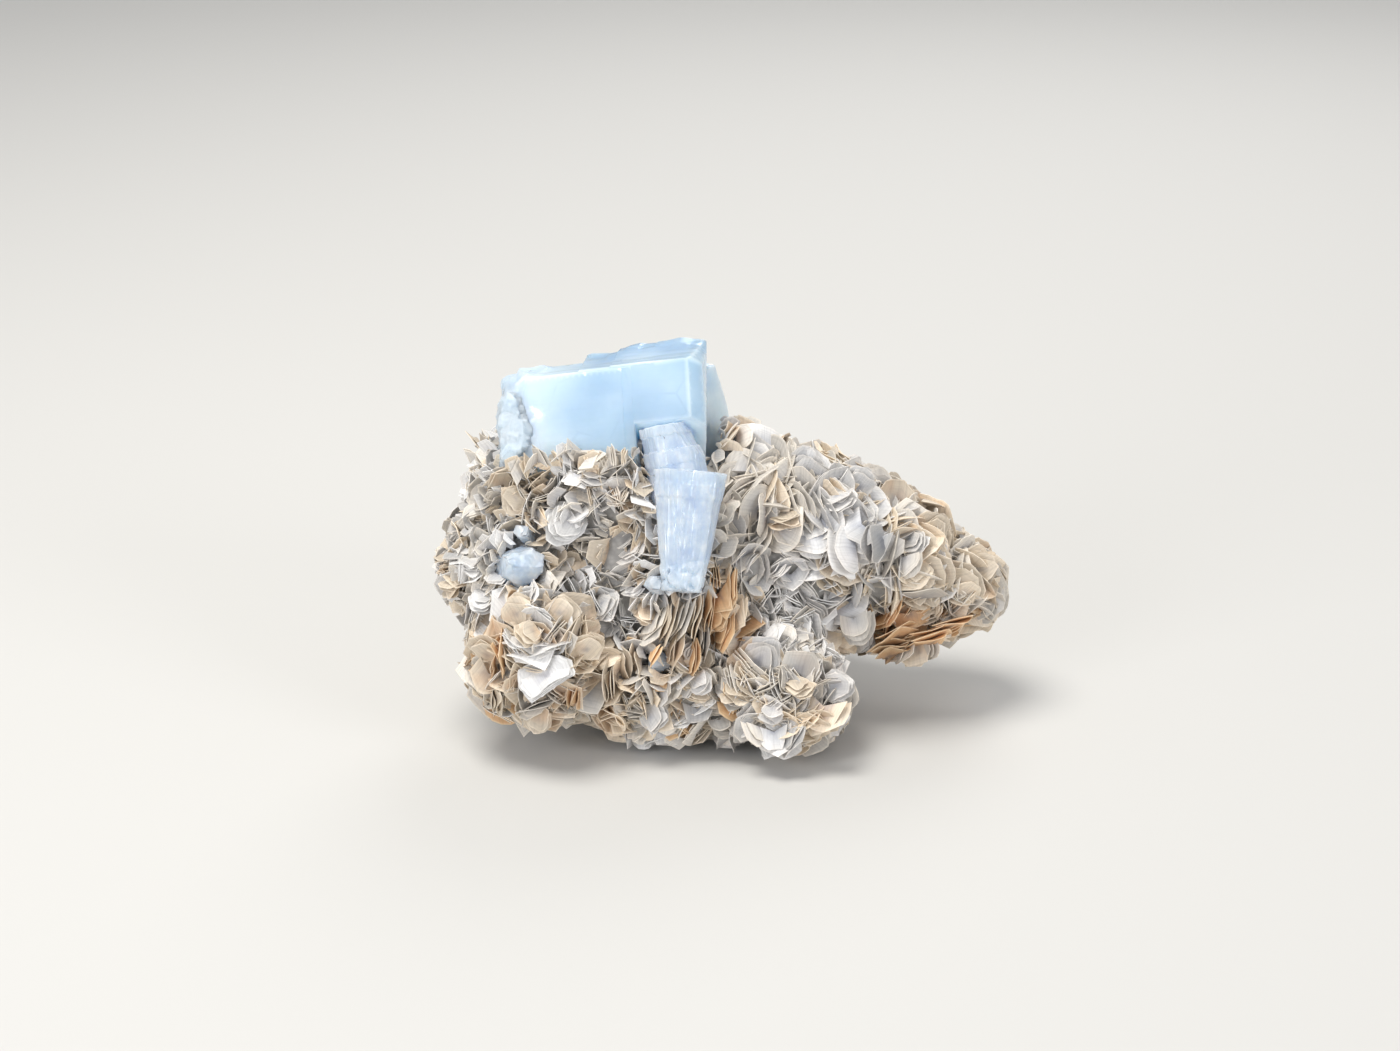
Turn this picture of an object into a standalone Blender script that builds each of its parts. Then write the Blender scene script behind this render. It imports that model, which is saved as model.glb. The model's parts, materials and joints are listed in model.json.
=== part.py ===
"""Aquamarine crystals on a rosette matrix of muscovite mica.

Metres, +Z up, resting on Z = 0. The front of the specimen faces -Y and its longest side lies along X.
Lengths in the tables below are in millimetres.
"""
import math
import random

import bmesh
import bpy
from mathutils import Euler, Matrix, Vector
from mathutils.bvhtree import BVHTree

MM = 0.001
CLEARANCE = 0.3          # between pieces that touch
SEED = 7

# The specimen is laid out as seen from its front, 20 degrees above the surface it rests on.
EYE = Vector((-4.9, -716.0, 309.2)) * MM
AIM = Vector((-4.9, 0.0, 48.6)) * MM
SIGHT_UP = Vector((0.0, math.sin(math.radians(20)), math.cos(math.radians(20))))

# Matrix: overlapping lumps (centre x, y, z, radius x, y, z), fused and cut flat underneath.
LUMPS = {
    "middle": (-16, 2, 36, 40, 30, 38),
    "upper_left": (-39, 0, 58, 24, 20, 18),
    "ledge": (-31, -8, 59, 25, 16, 15.5),
    "left": (-51, -6, 41, 19, 20, 18),
    "rosette_ball": (-43, -22, 24, 19.5, 19, 19),
    "saddle": (6, 2, 54, 19, 19, 20),
    "upper_right": (20, 5, 43, 27, 24, 25),
    "right": (37, 8, 37, 24, 22, 21),
    "right_tip": (54, 8, 30, 18, 16, 14),
    "right_under": (40, 6, 28, 20, 16, 14),
    "foot": (14, -21, 13, 19, 19, 17),
    "lower_front": (-14, -15, 15, 28, 21, 17.5),
    "back": (-6, 21, 28, 42, 22.5, 31),
    "back_top": (-22, 20, 54, 30, 17, 22),
}
LUMP_VOXEL = 2.6
LUMP_SMOOTHING = 6
LUMP_WAVE = 16.0
LUMP_RELIEF = 3.0
LUMP_DETAIL = 0.18

# Crystals: six prism faces are given by their distance from the c-axis (local X), in steps of 60 degrees.
MAIN_PLACE = ((-1.2, 4.6, 74.7), (0, -8.2, -5.8))
MAIN_ROLL = 35
MAIN_RIGHT = (19.0, 18.0, 14.6, 17.9, 18.0, 14.0)
MAIN_MIDDLE = (19.2, 17.7, 12.8, 17.0, 17.6, 20.0)
MAIN_LEFT = (19.5, 17.4, 7.0, 16.0, 17.2, 20.4)
BACK_TWIN = (22.0, 15.7, 14.5, 13.3, 17.0, 12.0)
TWIN_PLACE = ((-1.2, 8.6, 66.7), MAIN_PLACE[1])
UPPER_PALE = (6.4, 6.0, 6.2, 6.0, 7.0, 6.5)
UPPER_PALE_PLACE = ((-12.0, -15.5, 74.0), (0, 58, -40))
LOWER_PALE = (5.8, 8.0, 8.0, 8.0, 8.0, 6.6)
LOWER_PALE_PLACE = ((-7.2, -21.5, 70.6), (0, 67.2, -100.8))
LOWER_PALE_ROLL = 105
LOWER_PALE_TAPER = 7     # degrees that each face leans to the c-axis

# Albite crust on the broken left end of the main crystal: overlapping grains (centre, radius x, y, z).
CRUST = (
    (-50.5, -4.0, 77.0, 5.5, 11.0, 8.0),
    (-49.5, 2.5, 78.5, 5.5, 8.0, 6.5),
    (-49.5, -10.5, 73.5, 5.0, 6.5, 5.5),
)

CRUST_VOXEL = 1.3
CRUST_GRAIN = 3.5
CRUST_RELIEF = 1.6
CRUST_DETAIL = 0.20

# Small crystals: across, up, radius, length, proud, turn and lean of the axis, roll.
SMALL_CRYSTALS = {
    "aquamarine_stub": (-43.6, -10.0, 4.5, 10, 3.5, 24, 24, 12),
    "aquamarine_chip_upper": (-43.4, -1.6, 1.7, 7, 2.2, -20, 40, 0),
    "aquamarine_chip_lower": (-10.6, -14.6, 2.1, 8, 2.4, -25, 20, 20),
    "aquamarine_recess": (-9.8, -33.6, 2.4, 8, 0.9, 5, 15, 5),
}

# Mica books: across, up, radius, turn and lean of the flat face, how far the book stands out of the matrix,
# and the kind of mica.
# Turn is from straight ahead to the right, and lean is from level to straight up, both in degrees.
BOOK_THICKNESS = 1.2
BOOK_SIDES = 9
BOOK_BREAKAGE = 0.26     # how much of its radius a corner may have lost
BOOK_DISH = 0.10         # depth of the hollow of a book, over its radius
BOOK_SLANT = 44          # least angle between a book and the matrix around it, in degrees
BOOKS = (
    (27.2, 15.4, 6.7, -5, 20, 4.6, "silver"),
    (39.7, 11.5, 5.5, 15, 15, 4.2, "silver"),
    (35.0, 5.6, 5.5, 5, 50, 4.2, "silver"),
    (21.3, 1.1, 5.5, -20, 62, 4.0, "buff"),
    (48.5, 8.7, 7.3, 30, 15, 4.4, "buff"),
    (57.8, 0.8, 6.9, 25, 10, 4.4, "buff"),
    (53.0, -4.6, 5.0, -20, 45, 3.6, "silver"),
    (53.9, -12.6, 6.0, 10, 40, 4.4, "buff"),
    (54.6, -20.0, 6.0, 10, 66, 3.6, "buff"),
    (70.0, -9.5, 7.0, -25, 10, 4.6, "buff"),
    (50.5, -28.5, 5.5, -90, 55, 3.6, "rusty"),
    (60.5, -26.5, 6.5, -90, 66, 3.6, "rusty"),
    (40.4, -28.0, 5.5, -30, 0, 4.8, "white"),
    (29.4, -24.4, 6.5, -35, 5, 4.2, "silver"),
    (33.8, -16.5, 7.5, 80, 50, 3.6, "buff"),
    (28.8, -48.2, 6.7, 15, -10, 5.0, "buff"),
    (16.4, -53.4, 4.4, -5, -5, 4.2, "white"),
    (17.5, -46.5, 3.8, -10, 20, 3.6, "silver"),
    (24.5, -40.5, 4.6, 0, 66, 3.6, "buff"),
    (33.8, -39.5, 5.0, 25, 30, 4.4, "silver"),
    (8.5, -42.0, 4.6, 5, 66, 3.6, "buff"),
    (15.2, -30.5, 7.0, -20, 45, 4.4, "silver"),
    (0.8, -38.6, 3.8, -20, 35, 3.6, "silver"),
    (-3.4, -31.0, 3.0, 40, 10, 3.6, "silver"),
    (4.2, -22.9, 4.8, -10, 15, 4.6, "rusty"),
    (3.4, -13.2, 4.2, 80, 5, 3.6, "rusty"),
    (-10.5, -48.0, 5.0, 0, -5, 3.6, "silver"),
    (-12.7, -22.8, 5.5, 10, 50, 4.2, "buff"),
    (-22.5, -20.5, 5.0, -15, 25, 3.6, "silver"),
    (-38.0, -37.5, 8.8, -10, 20, 6.5, "white"),
    (-42.6, -26.8, 4.4, -5, 30, 4.0, "buff"),
    (-45.0, -20.4, 4.8, -12, 40, 4.2, "buff"),
    (-33.0, -20.4, 5.4, 15, 35, 4.2, "buff"),
    (-53.0, -29.5, 6.0, -45, 5, 4.6, "buff"),
    (-27.2, -28.6, 5.2, 40, 15, 4.2, "buff"),
    (-23.0, -38.5, 6.0, 62, 5, 4.6, "buff"),
    (-31.6, -42.0, 4.2, 40, -10, 3.6, "rusty"),
    (-49.5, -43.0, 5.2, -35, -15, 3.6, "buff"),
    (-39.6, -48.0, 4.4, 0, -25, 3.6, "buff"),
    (-54.0, -19.0, 4.4, -20, 50, 3.6, "white"),
    (-61.0, -15.5, 4.6, -50, 20, 3.6, "buff"),
    (-57.0, -11.0, 4.6, -10, 68, 3.6, "white"),
    (-33.6, -0.6, 6.7, 10, 20, 5.2, "white"),
    (-46.0, 6.4, 4.6, -10, 20, 4.2, "buff"),
    (-34.5, 15.6, 4.0, -5, 25, 3.6, "white"),
    (-26.5, 11.0, 5.0, 10, 60, 3.6, "silver"),
)
BACK_BOOKS = (
    (-40.0, -6.0, 7.5, 165, 25, 4.4, "buff"),
    (-18.0, -20.0, 8.0, 190, 40, 4.4, "silver"),
    (8.0, -2.0, 7.5, 175, 20, 4.4, "silver"),
    (34.0, -16.0, 8.0, 200, 30, 4.4, "buff"),
    (48.0, -30.0, 7.0, 215, 10, 4.4, "rusty"),
    (-2.0, -36.0, 7.0, 180, -5, 4.4, "buff"),
)


def material(name, colour, roughness, alpha=1.0, metallic=0.0):
    made = bpy.data.materials.new(name)
    made.use_nodes = True
    shader = made.node_tree.nodes["Principled BSDF"]
    shader.inputs["Base Color"].default_value = (*colour, 1)
    shader.inputs["Roughness"].default_value = roughness
    shader.inputs["Metallic"].default_value = metallic
    shader.inputs["Alpha"].default_value = alpha
    return made


def add_object(name, mesh, collection, finish=None):
    obj = bpy.data.objects.new(name, mesh)
    collection.objects.link(obj)
    if finish:
        mesh.materials.append(finish)
    if collection is cutters:
        obj.hide_render = True
        obj.display_type = "WIRE"
    return obj


def plane_cut(shape, normal, distance):
    """Cuts one flat crystal face: what lies further than distance along normal goes."""
    everything = shape.verts[:] + shape.edges[:] + shape.faces[:]
    normal = Vector(normal).normalized()
    cut = bmesh.ops.bisect_plane(
        shape, geom=everything, plane_co=normal * distance * MM, plane_no=normal, clear_outer=True)
    rim = [edge for edge in cut["geom_cut"] if isinstance(edge, bmesh.types.BMEdge)]
    if rim:
        bmesh.ops.contextual_create(shape, geom=rim)


def crystal(name, faces, low, high, place, roll, collection, finish=None, cuts=(), taper=0.0, grow=0.0):
    """A six-sided prism along local X from low to high, with further cuts (normal, distance)."""
    shape = bmesh.new()
    bmesh.ops.create_cube(shape, size=400 * MM)
    for step, distance in enumerate(faces):
        angle = math.radians(roll + 60 * step)
        normal = (math.tan(math.radians(taper)), -math.cos(angle), math.sin(angle))
        plane_cut(shape, normal, distance + grow)
    plane_cut(shape, (-1, 0, 0), -low + grow)
    plane_cut(shape, (1, 0, 0), high + grow)
    for normal, distance in cuts:
        plane_cut(shape, normal, distance + grow)
    bmesh.ops.recalc_face_normals(shape, faces=shape.faces)
    mesh = bpy.data.meshes.new(name)
    shape.to_mesh(mesh)
    shape.free()
    obj = add_object(name, mesh, collection, finish)
    location, turns = place
    obj.location = Vector(location) * MM
    obj.rotation_euler = Euler([math.radians(turn) for turn in turns])
    return obj


def fused_lumps(name, lumps, voxel, smoothing, wave, relief, detail, collection, finish):
    """Ellipsoids fused into one surface, with low waves over it."""
    shape = bmesh.new()
    for x, y, z, rx, ry, rz in lumps:
        made = bmesh.ops.create_icosphere(shape, subdivisions=3, radius=MM)
        bmesh.ops.scale(shape, vec=(rx, ry, rz), verts=made["verts"])
        bmesh.ops.translate(shape, vec=Vector((x, y, z)) * MM, verts=made["verts"])
    mesh = bpy.data.meshes.new(name)
    shape.to_mesh(mesh)
    shape.free()
    obj = add_object(name, mesh, collection, finish)
    fuse = obj.modifiers.new("fuse", "REMESH")
    fuse.mode = "VOXEL"
    fuse.voxel_size = voxel * MM
    soften = obj.modifiers.new("soften", "SMOOTH")
    soften.iterations = smoothing
    clouds = bpy.data.textures.new(name + " waves", "CLOUDS")
    clouds.noise_scale = wave * MM
    clouds.noise_depth = 1
    waves = obj.modifiers.new("waves", "DISPLACE")
    waves.texture = clouds
    waves.texture_coords = "GLOBAL"
    waves.strength = relief * MM
    thin = obj.modifiers.new("thin", "DECIMATE")
    thin.ratio = detail
    return obj


def lump_matrix(collection, finish):
    """The mica matrix, flat underneath."""
    obj = fused_lumps("mica_matrix", LUMPS.values(), LUMP_VOXEL, LUMP_SMOOTHING, LUMP_WAVE, LUMP_RELIEF,
                      LUMP_DETAIL, collection, finish)
    flatten = obj.modifiers.new("flatten", "BOOLEAN")
    flatten.operation = "DIFFERENCE"
    flatten.object = floor_cutter()
    return obj


def floor_cutter():
    """A block that takes away what hangs below Z = 0."""
    shape = bmesh.new()
    bmesh.ops.create_cube(shape, size=1)
    bmesh.ops.scale(shape, vec=(0.3, 0.3, 0.06), verts=shape.verts)
    bmesh.ops.translate(shape, vec=(0, 0, -0.03), verts=shape.verts)
    mesh = bpy.data.meshes.new("floor_cutter")
    shape.to_mesh(mesh)
    shape.free()
    return add_object("floor_cutter", mesh, cutters)


def main_crystals(collection, grow):
    """The grown-together crystals: three steps of the blue one, a parallel twin behind, and two pale ones."""
    roll = math.radians(MAIN_ROLL)
    front_bevel = (0.9, -math.cos(roll), math.sin(roll))
    top_bevel = (1.0, 0, 1.0)
    middle_break = (-0.5, 0.4, 1.0)
    left_break = (-1.0, -0.15, 0.55)
    tag = "socket" if grow else "beryl"
    return [
        crystal(f"{tag}_right", MAIN_RIGHT, -22, 0, MAIN_PLACE, MAIN_ROLL, collection,
                grow=grow, cuts=((front_bevel, 12.0), (top_bevel, 11.6))),
        crystal(f"{tag}_middle", MAIN_MIDDLE, -30, -18.5, MAIN_PLACE, MAIN_ROLL, collection,
                grow=grow, cuts=((middle_break, 30.0), )),
        crystal(f"{tag}_left", MAIN_LEFT, -50, -19.0, MAIN_PLACE, MAIN_ROLL, collection,
                grow=grow, cuts=((left_break, 52.5), )),
        crystal(f"{tag}_twin", BACK_TWIN, -30, 2.2, TWIN_PLACE, MAIN_ROLL, collection, grow=grow),
        crystal(f"{tag}_upper_pale", UPPER_PALE, -4.8, 9, UPPER_PALE_PLACE, 0, collection, grow=grow),
        crystal(f"{tag}_lower_pale", LOWER_PALE, -3, 29, LOWER_PALE_PLACE, LOWER_PALE_ROLL, collection,
                grow=grow, taper=LOWER_PALE_TAPER),
    ]


def crust(collection, grow, finish=None):
    """Sugary albite grains, grow wider all round."""
    name = "crust_cutter" if grow else "albite_crust"
    obj = fused_lumps(name, CRUST, CRUST_VOXEL, 0, CRUST_GRAIN, CRUST_RELIEF, CRUST_DETAIL, collection, finish)
    swell = obj.modifiers.new("swell", "DISPLACE")
    swell.mid_level = 0
    swell.strength = grow * MM
    return obj


def join(target, others):
    for other in others:
        union = target.modifiers.new("join " + other.name, "BOOLEAN")
        union.operation = "UNION"
        union.object = other
        other.hide_render = True
        other.display_type = "WIRE"


def cut(target, cutter):
    difference = target.modifiers.new("cut " + cutter.name, "BOOLEAN")
    difference.operation = "DIFFERENCE"
    difference.object = cutter


def surface_of(obj):
    bpy.context.view_layer.update()
    return BVHTree.FromObject(obj, bpy.context.evaluated_depsgraph_get())


def seat(surface, across, up, behind=False):
    """Where the line of sight through (across, up) meets the matrix, or passes nearest, and the outward normal."""
    side = -1 if behind else 1
    eye = Vector((EYE.x, EYE.y * side, EYE.z))
    mark = AIM + Vector((across * side, 0, 0)) * MM
    mark += Vector((0, SIGHT_UP.y * side, SIGHT_UP.z)) * up * MM
    point, normal, _, _ = surface.ray_cast(eye, (mark - eye).normalized())
    if point is None:
        point, normal, _, _ = surface.find_nearest(mark)
    return point, normal


def facing(turn, lean):
    """The direction that a face looks: turn right of straight ahead, lean up from level."""
    turn, lean = math.radians(turn), math.radians(lean)
    return Vector((math.sin(turn) * math.cos(lean), -math.cos(turn) * math.cos(lean), math.sin(lean)))


def small_crystal(name, surface, row, collection, grow=0.0, finish=None):
    across, up, radius, length, proud, turn, lean, roll = row
    point, _ = seat(surface, across, up)
    axis = facing(turn, lean)
    turns = axis.to_track_quat("X", "Z").to_euler()
    place = (point / MM, [math.degrees(angle) for angle in turns])
    return crystal(name, (radius, ) * 6, proud - length, proud, place, roll, collection, finish, grow=grow)


def book_mesh(name, radius, grow, rng):
    """A dished sheet with a rounded six-sided outline, grow wider all round."""
    shape = bmesh.new()
    bmesh.ops.create_circle(shape, cap_ends=True, segments=BOOK_SIDES, radius=(radius + grow) * MM)
    for corner in shape.verts:
        corner.co *= 1 - rng.uniform(0, BOOK_BREAKAGE)
    ring = bmesh.ops.inset_region(shape, faces=shape.faces[:], thickness=radius * 0.45 * MM)["faces"]
    bmesh.ops.poke(shape, faces=[face for face in shape.faces if face not in ring])
    for vert in shape.verts:
        vert.co.z = BOOK_DISH * vert.co.xy.length ** 2 / (radius * MM)
    mesh = bpy.data.meshes.new(name)
    shape.to_mesh(mesh)
    shape.free()
    return mesh


def slanted(face, outward):
    """The face turned, if it must be, so that the book stands at BOOK_SLANT or more out of the surface."""
    angle = face.angle(outward)
    if angle >= math.radians(BOOK_SLANT):
        return face
    axis = outward.cross(face) if angle > math.radians(5) else Vector((0, 0, 1)).cross(outward)
    return Matrix.Rotation(math.radians(BOOK_SLANT), 3, axis.normalized()) @ outward


def book(number, surface, row, behind, collection, grow, finish=None):
    """One mica book, seated in the matrix so that its rim stands out by reach."""
    across, up, radius, turn, lean, reach, _ = row
    name = f"slot_{number:02d}" if grow else f"mica_book_{number:02d}"
    rng = random.Random(SEED + number)
    obj = add_object(name, book_mesh(name, radius, grow, rng), collection, finish)
    point, outward = seat(surface, across, up, behind)
    face = slanted(facing(turn, lean), outward)
    sunk = radius * MM * math.sin(face.angle(outward))
    obj.location = point + outward * (reach * MM - sunk)
    obj.rotation_euler = face.to_track_quat("Z", "Y").to_euler()
    leaves = obj.modifiers.new("thickness", "SOLIDIFY")
    leaves.thickness = (BOOK_THICKNESS + 2 * grow) * MM
    leaves.offset = 0
    return obj


for old in list(bpy.data.objects):
    bpy.data.objects.remove(old, do_unlink=True)

specimen = bpy.data.collections.new("aquamarine_specimen")
cutters = bpy.data.collections.new("cutters")
bpy.context.scene.collection.children.link(specimen)
bpy.context.scene.collection.children.link(cutters)

blue_beryl = material("aquamarine", (0.42, 0.68, 0.87), 0.08, alpha=0.8)
pale_beryl = material("pale aquamarine", (0.66, 0.76, 0.90), 0.15, alpha=0.8)
albite = material("albite", (0.66, 0.66, 0.64), 0.5)
ground_mica = material("muscovite aggregate", (0.40, 0.34, 0.26), 0.5)
book_micas = {
    "silver": material("silver muscovite", (0.50, 0.47, 0.43), 0.35, metallic=0.1),
    "buff": material("buff muscovite", (0.62, 0.50, 0.36), 0.4),
    "white": material("bleached muscovite", (0.82, 0.80, 0.77), 0.4),
    "rusty": material("iron-stained muscovite", (0.66, 0.36, 0.16), 0.45),
}

matrix = lump_matrix(specimen, ground_mica)
surface = surface_of(matrix)

beryls = main_crystals(specimen, 0)
cluster = beryls[0]
cluster.name = "aquamarine_cluster"
cluster.data.materials.append(blue_beryl)
join(cluster, beryls[1:])
sockets = main_crystals(cutters, CLEARANCE)

albite_crust = crust(specimen, 0, albite)
crust_cutter = crust(cutters, CLEARANCE + 0.1)

for socket in sockets:
    cut(matrix, socket)
    cut(albite_crust, socket)
cut(matrix, crust_cutter)

for name, row in SMALL_CRYSTALS.items():
    small_crystal(name, surface, row, specimen, finish=pale_beryl)
    cut(matrix, small_crystal(name + "_socket", surface, row, cutters, CLEARANCE))

rows = [(row, False) for row in BOOKS] + [(row, True) for row in BACK_BOOKS]
slots = bpy.data.collections.new("slots")
cutters.children.link(slots)
for number, (row, behind) in enumerate(rows, 1):
    book(number, surface, row, behind, specimen, 0, book_micas[row[-1]])
    slots.objects.link(book(number, surface, row, behind, cutters, CLEARANCE))
open_slots = matrix.modifiers.new("slots", "BOOLEAN")
open_slots.operation = "DIFFERENCE"
open_slots.operand_type = "COLLECTION"
open_slots.collection = slots
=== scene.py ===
import functools
import json
import math
import random

import bmesh
import bpy
import numpy as np
from mathutils import Euler, Matrix, Vector, noise
from mathutils.bvhtree import BVHTree


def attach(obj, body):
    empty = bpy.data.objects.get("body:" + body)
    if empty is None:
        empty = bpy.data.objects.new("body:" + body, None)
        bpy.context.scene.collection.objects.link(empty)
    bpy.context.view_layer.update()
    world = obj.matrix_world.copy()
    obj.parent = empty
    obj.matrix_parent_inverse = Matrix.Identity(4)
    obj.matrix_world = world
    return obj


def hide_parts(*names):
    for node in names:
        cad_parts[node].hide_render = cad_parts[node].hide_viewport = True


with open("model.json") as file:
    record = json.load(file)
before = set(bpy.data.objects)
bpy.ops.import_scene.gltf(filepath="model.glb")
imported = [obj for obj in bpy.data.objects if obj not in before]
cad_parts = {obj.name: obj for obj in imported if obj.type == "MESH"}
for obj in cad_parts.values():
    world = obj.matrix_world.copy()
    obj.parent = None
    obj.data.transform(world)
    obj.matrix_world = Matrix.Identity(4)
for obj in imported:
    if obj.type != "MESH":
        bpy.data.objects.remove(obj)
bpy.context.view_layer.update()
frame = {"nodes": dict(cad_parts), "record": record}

mm = 0.001
# each draws its own fixed run of random numbers
seeds = {"growth": 11, "clumps": 5, "collar": 6, "leaves": 100, "books": 300, "bookLeaves": 400}
nodes = frame["nodes"]
slotOf = {entry["node"]: entry["material_slot"] for entry in frame["record"]["subparts"]}

# sightUp is up as the camera sees it, 20 degrees above the floor
shot = {"eye": (-4.9, -716.0, 309.2), "target": (-4.9, 0.0, 48.6), "lens": 80, "sensor": 36,
        "sightUp": (0.0, math.sin(math.radians(20)), math.cos(math.radians(20)))}
# lights are place in metres, size, power and colour
room = {"floor": "#D2D0CC", "air": "#E9ECF0", "airStrength": 0.46, "floorSize": 8.0, "aim": (0, 0, 0.05),
        "lights": {"key": ((-0.30, -0.10, 1.10), 0.60, 10.0, "#FFFDF8"),
                   "fill": ((-0.70, -0.85, 0.36), 0.60, 4.4, "#F8FAFF"),
                   "front": ((0.95, -0.80, 0.44), 0.60, 4.8, "#F8FAFF"),
                   "back": ((0.20, 0.80, 0.70), 0.60, 3.0, "#FFFFFF")}}


def linear(hexText):
    channels = [int(hexText[i:i + 2], 16) / 255 for i in (1, 3, 5)]
    return tuple(c / 12.92 if c <= 0.04045 else ((c + 0.055) / 1.055) ** 2.4 for c in channels) + (1.0,)


def addNode(tree, kind, settings=None, stops=(), out=0, **inputs):
    # inputs go by name with _ for a space, or by number as in0 and in1; stops fill a colour ramp, and out
    # says which output is wanted
    node = tree.nodes.new("ShaderNode" + kind)
    for name, value in (settings or {}).items():
        setattr(node, name, value)
    for number, (place, tone) in enumerate(stops):
        elements = node.color_ramp.elements
        element = elements[number] if number < 2 else elements.new(place)
        element.position = place
        element.color = linear(tone) if isinstance(tone, str) else (tone, tone, tone, 1.0)
    for name, value in inputs.items():
        socket = node.inputs[int(name[2:]) if name[2:].isdigit() else name.replace("_", " ")]
        if isinstance(value, bpy.types.NodeSocket):
            tree.links.new(value, socket)
        else:
            socket.default_value = linear(value) if isinstance(value, str) else value
    return node.outputs[out] if node.outputs else node


def newMaterial(name):
    # the material, and addNode for its own tree
    made = bpy.data.materials.new(name)
    made.use_nodes = True
    made.node_tree.nodes.clear()
    return made, functools.partial(addNode, made.node_tree)


# Settings that many nodes share. A Mix takes its share at in0 and its colours at in6 and in7, and gives out 2.
mixed = {"data_type": "RGBA"}
multiplied = {**mixed, "blend_type": "MULTIPLY"}
plus, multiply, multiplyAdd = ({"operation": operation} for operation in ("ADD", "MULTIPLY", "MULTIPLY_ADD"))
clamped = {**multiplyAdd, "use_clamp": True}
inLine = {"noise_dimensions": "1D"}
# what the meshes tell their materials, point by point
leafTags = ("leafShade", "leafInward", "leafAcross", "leafSeed")
berylTags = ("paleness", "milkiness", "frost")


# Muscovite cleaves into thin elastic sheets: pearly on the flat, silky and pale along the broken rim, where a
# painted highlight is added, and greyer and darker towards the root as painted shade. tones run from the rim to
# the root.
def muscovite(name, tones, roughness, stain, stainColour="#C58A4C"):
    made, add = newMaterial(name)
    place = add("TexCoord", out="Object")
    shade, inward, across, seed = (add("Attribute", {"attribute_name": title}, out="Fac") for title in leafTags)
    # cloudy patches about 2 mm across
    mottle = add("TexNoise", Vector=place, Scale=480.0, Detail=3.0)
    # painted shade: the colour darkens from the rim tones towards the root tone
    depth = add("Math", multiplyAdd, in0=mottle, in1=3.0, in2=inward)
    depth = add("MapRange", Value=depth, From_Min=1.3, From_Max=7.5)
    colour = add("ValToRGB", stops=[(0.0, tones[1]), (0.38, tones[2]), (0.85, tones[3])], Fac=depth)
    bright = add("MapRange", Value=shade, To_Min=0.56, To_Max=1.20)
    colour = add("Mix", multiplied, in0=1.0, in6=colour, in7=bright, out=2)
    # growth layers run parallel to the rim, about 0.5 mm apart
    along = add("Math", multiplyAdd, in0=inward, in1=2.0, in2=seed)
    layers = add("TexNoise", inLine, W=along, Scale=1.0, Detail=2.0)
    layerTone = add("ValToRGB", stops=[(0.35, 0.74), (0.60, 1.0)], Fac=layers)
    nearRim = add("MapRange", Value=inward, From_Max=3.5, To_Min=0.5, To_Max=0.12)
    colour = add("Mix", multiplied, in0=nearRim, in6=colour, in7=layerTone, out=2)
    # fine striae run the way the leaf grew, about 0.6 mm apart, and wander a little
    streak = add("Math", multiplyAdd, in0=across, in1=1.7, in2=seed)
    streak = add("Math", multiplyAdd, in0=mottle, in1=1.2, in2=streak)
    striae = add("TexNoise", inLine, W=streak, Scale=1.0, Detail=3.0)
    striaeTone = add("ValToRGB", stops=[(0.34, 0.80), (0.58, 1.0)], Fac=striae)
    colour = add("Mix", multiplied, in0=0.6, in6=colour, in7=striaeTone, out=2)
    # iron stain gathers in patches about 8 mm across
    patch = add("TexNoise", Vector=place, Scale=120.0, Detail=2.0)
    stained = add("ValToRGB", stops=[(0.52, 0.0), (0.72, stain)], Fac=patch)
    colour = add("Mix", mixed, in0=stained, in6=colour, in7=stainColour, out=2)
    # the rim line is 0.3 mm wide and comes and goes: the broken rim's own pale tone together with a painted
    # highlight
    rimTintAndHighlight = add("MapRange", Value=mottle, From_Min=0.40, From_Max=0.62, To_Min=0.1, To_Max=0.7)
    edge = add("MapRange", Value=inward, From_Min=0.42, From_Max=0.10, To_Max=rimTintAndHighlight)
    colour = add("Mix", mixed, in0=edge, in6=colour, in7=tones[0], out=2)
    rough = add("MapRange", Value=mottle, To_Min=roughness - 0.08, To_Max=roughness + 0.12)
    lines = add("Math", plus, in0=layers, in1=striae)
    bump = add("Bump", Strength=0.35, Distance=0.12 * mm, Height=lines)
    shader = add("BsdfPrincipled", Base_Color=colour, Roughness=rough, Normal=bump, IOR=1.58)
    add("OutputMaterial", Surface=shader)
    return made


# for each kind: the rim tone, which also carries a painted highlight, then tones darkening inward to the
# painted shade of the root
micaKinds = {
    "silver": muscovite("silverMuscovite", ("#F7F0E7", "#ECE8E3", "#DAD9D9", "#B2B4BC"), 0.36, 0.06),
    "olive": muscovite("oliveMuscovite", ("#F6ECDC", "#EAE2D6", "#D8D3CC", "#B1AFB0"), 0.40, 0.10),
    "buff": muscovite("buffMuscovite", ("#FAECD8", "#F2E2CA", "#E3D3BE", "#B8AFA7"), 0.42, 0.34, "#D29C64"),
    "white": muscovite("bleachedMuscovite", ("#FFFCF8", "#F8F6F3", "#F2F0EE", "#DEDDE0"), 0.34, 0.04),
    "rusty": muscovite("ironStainedMuscovite", ("#F8E3C2", "#EBC79B", "#D3A679", "#9F836B"), 0.48, 0.40,
                       "#B8703A"),
}
micaOrder = list(micaKinds)
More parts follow.
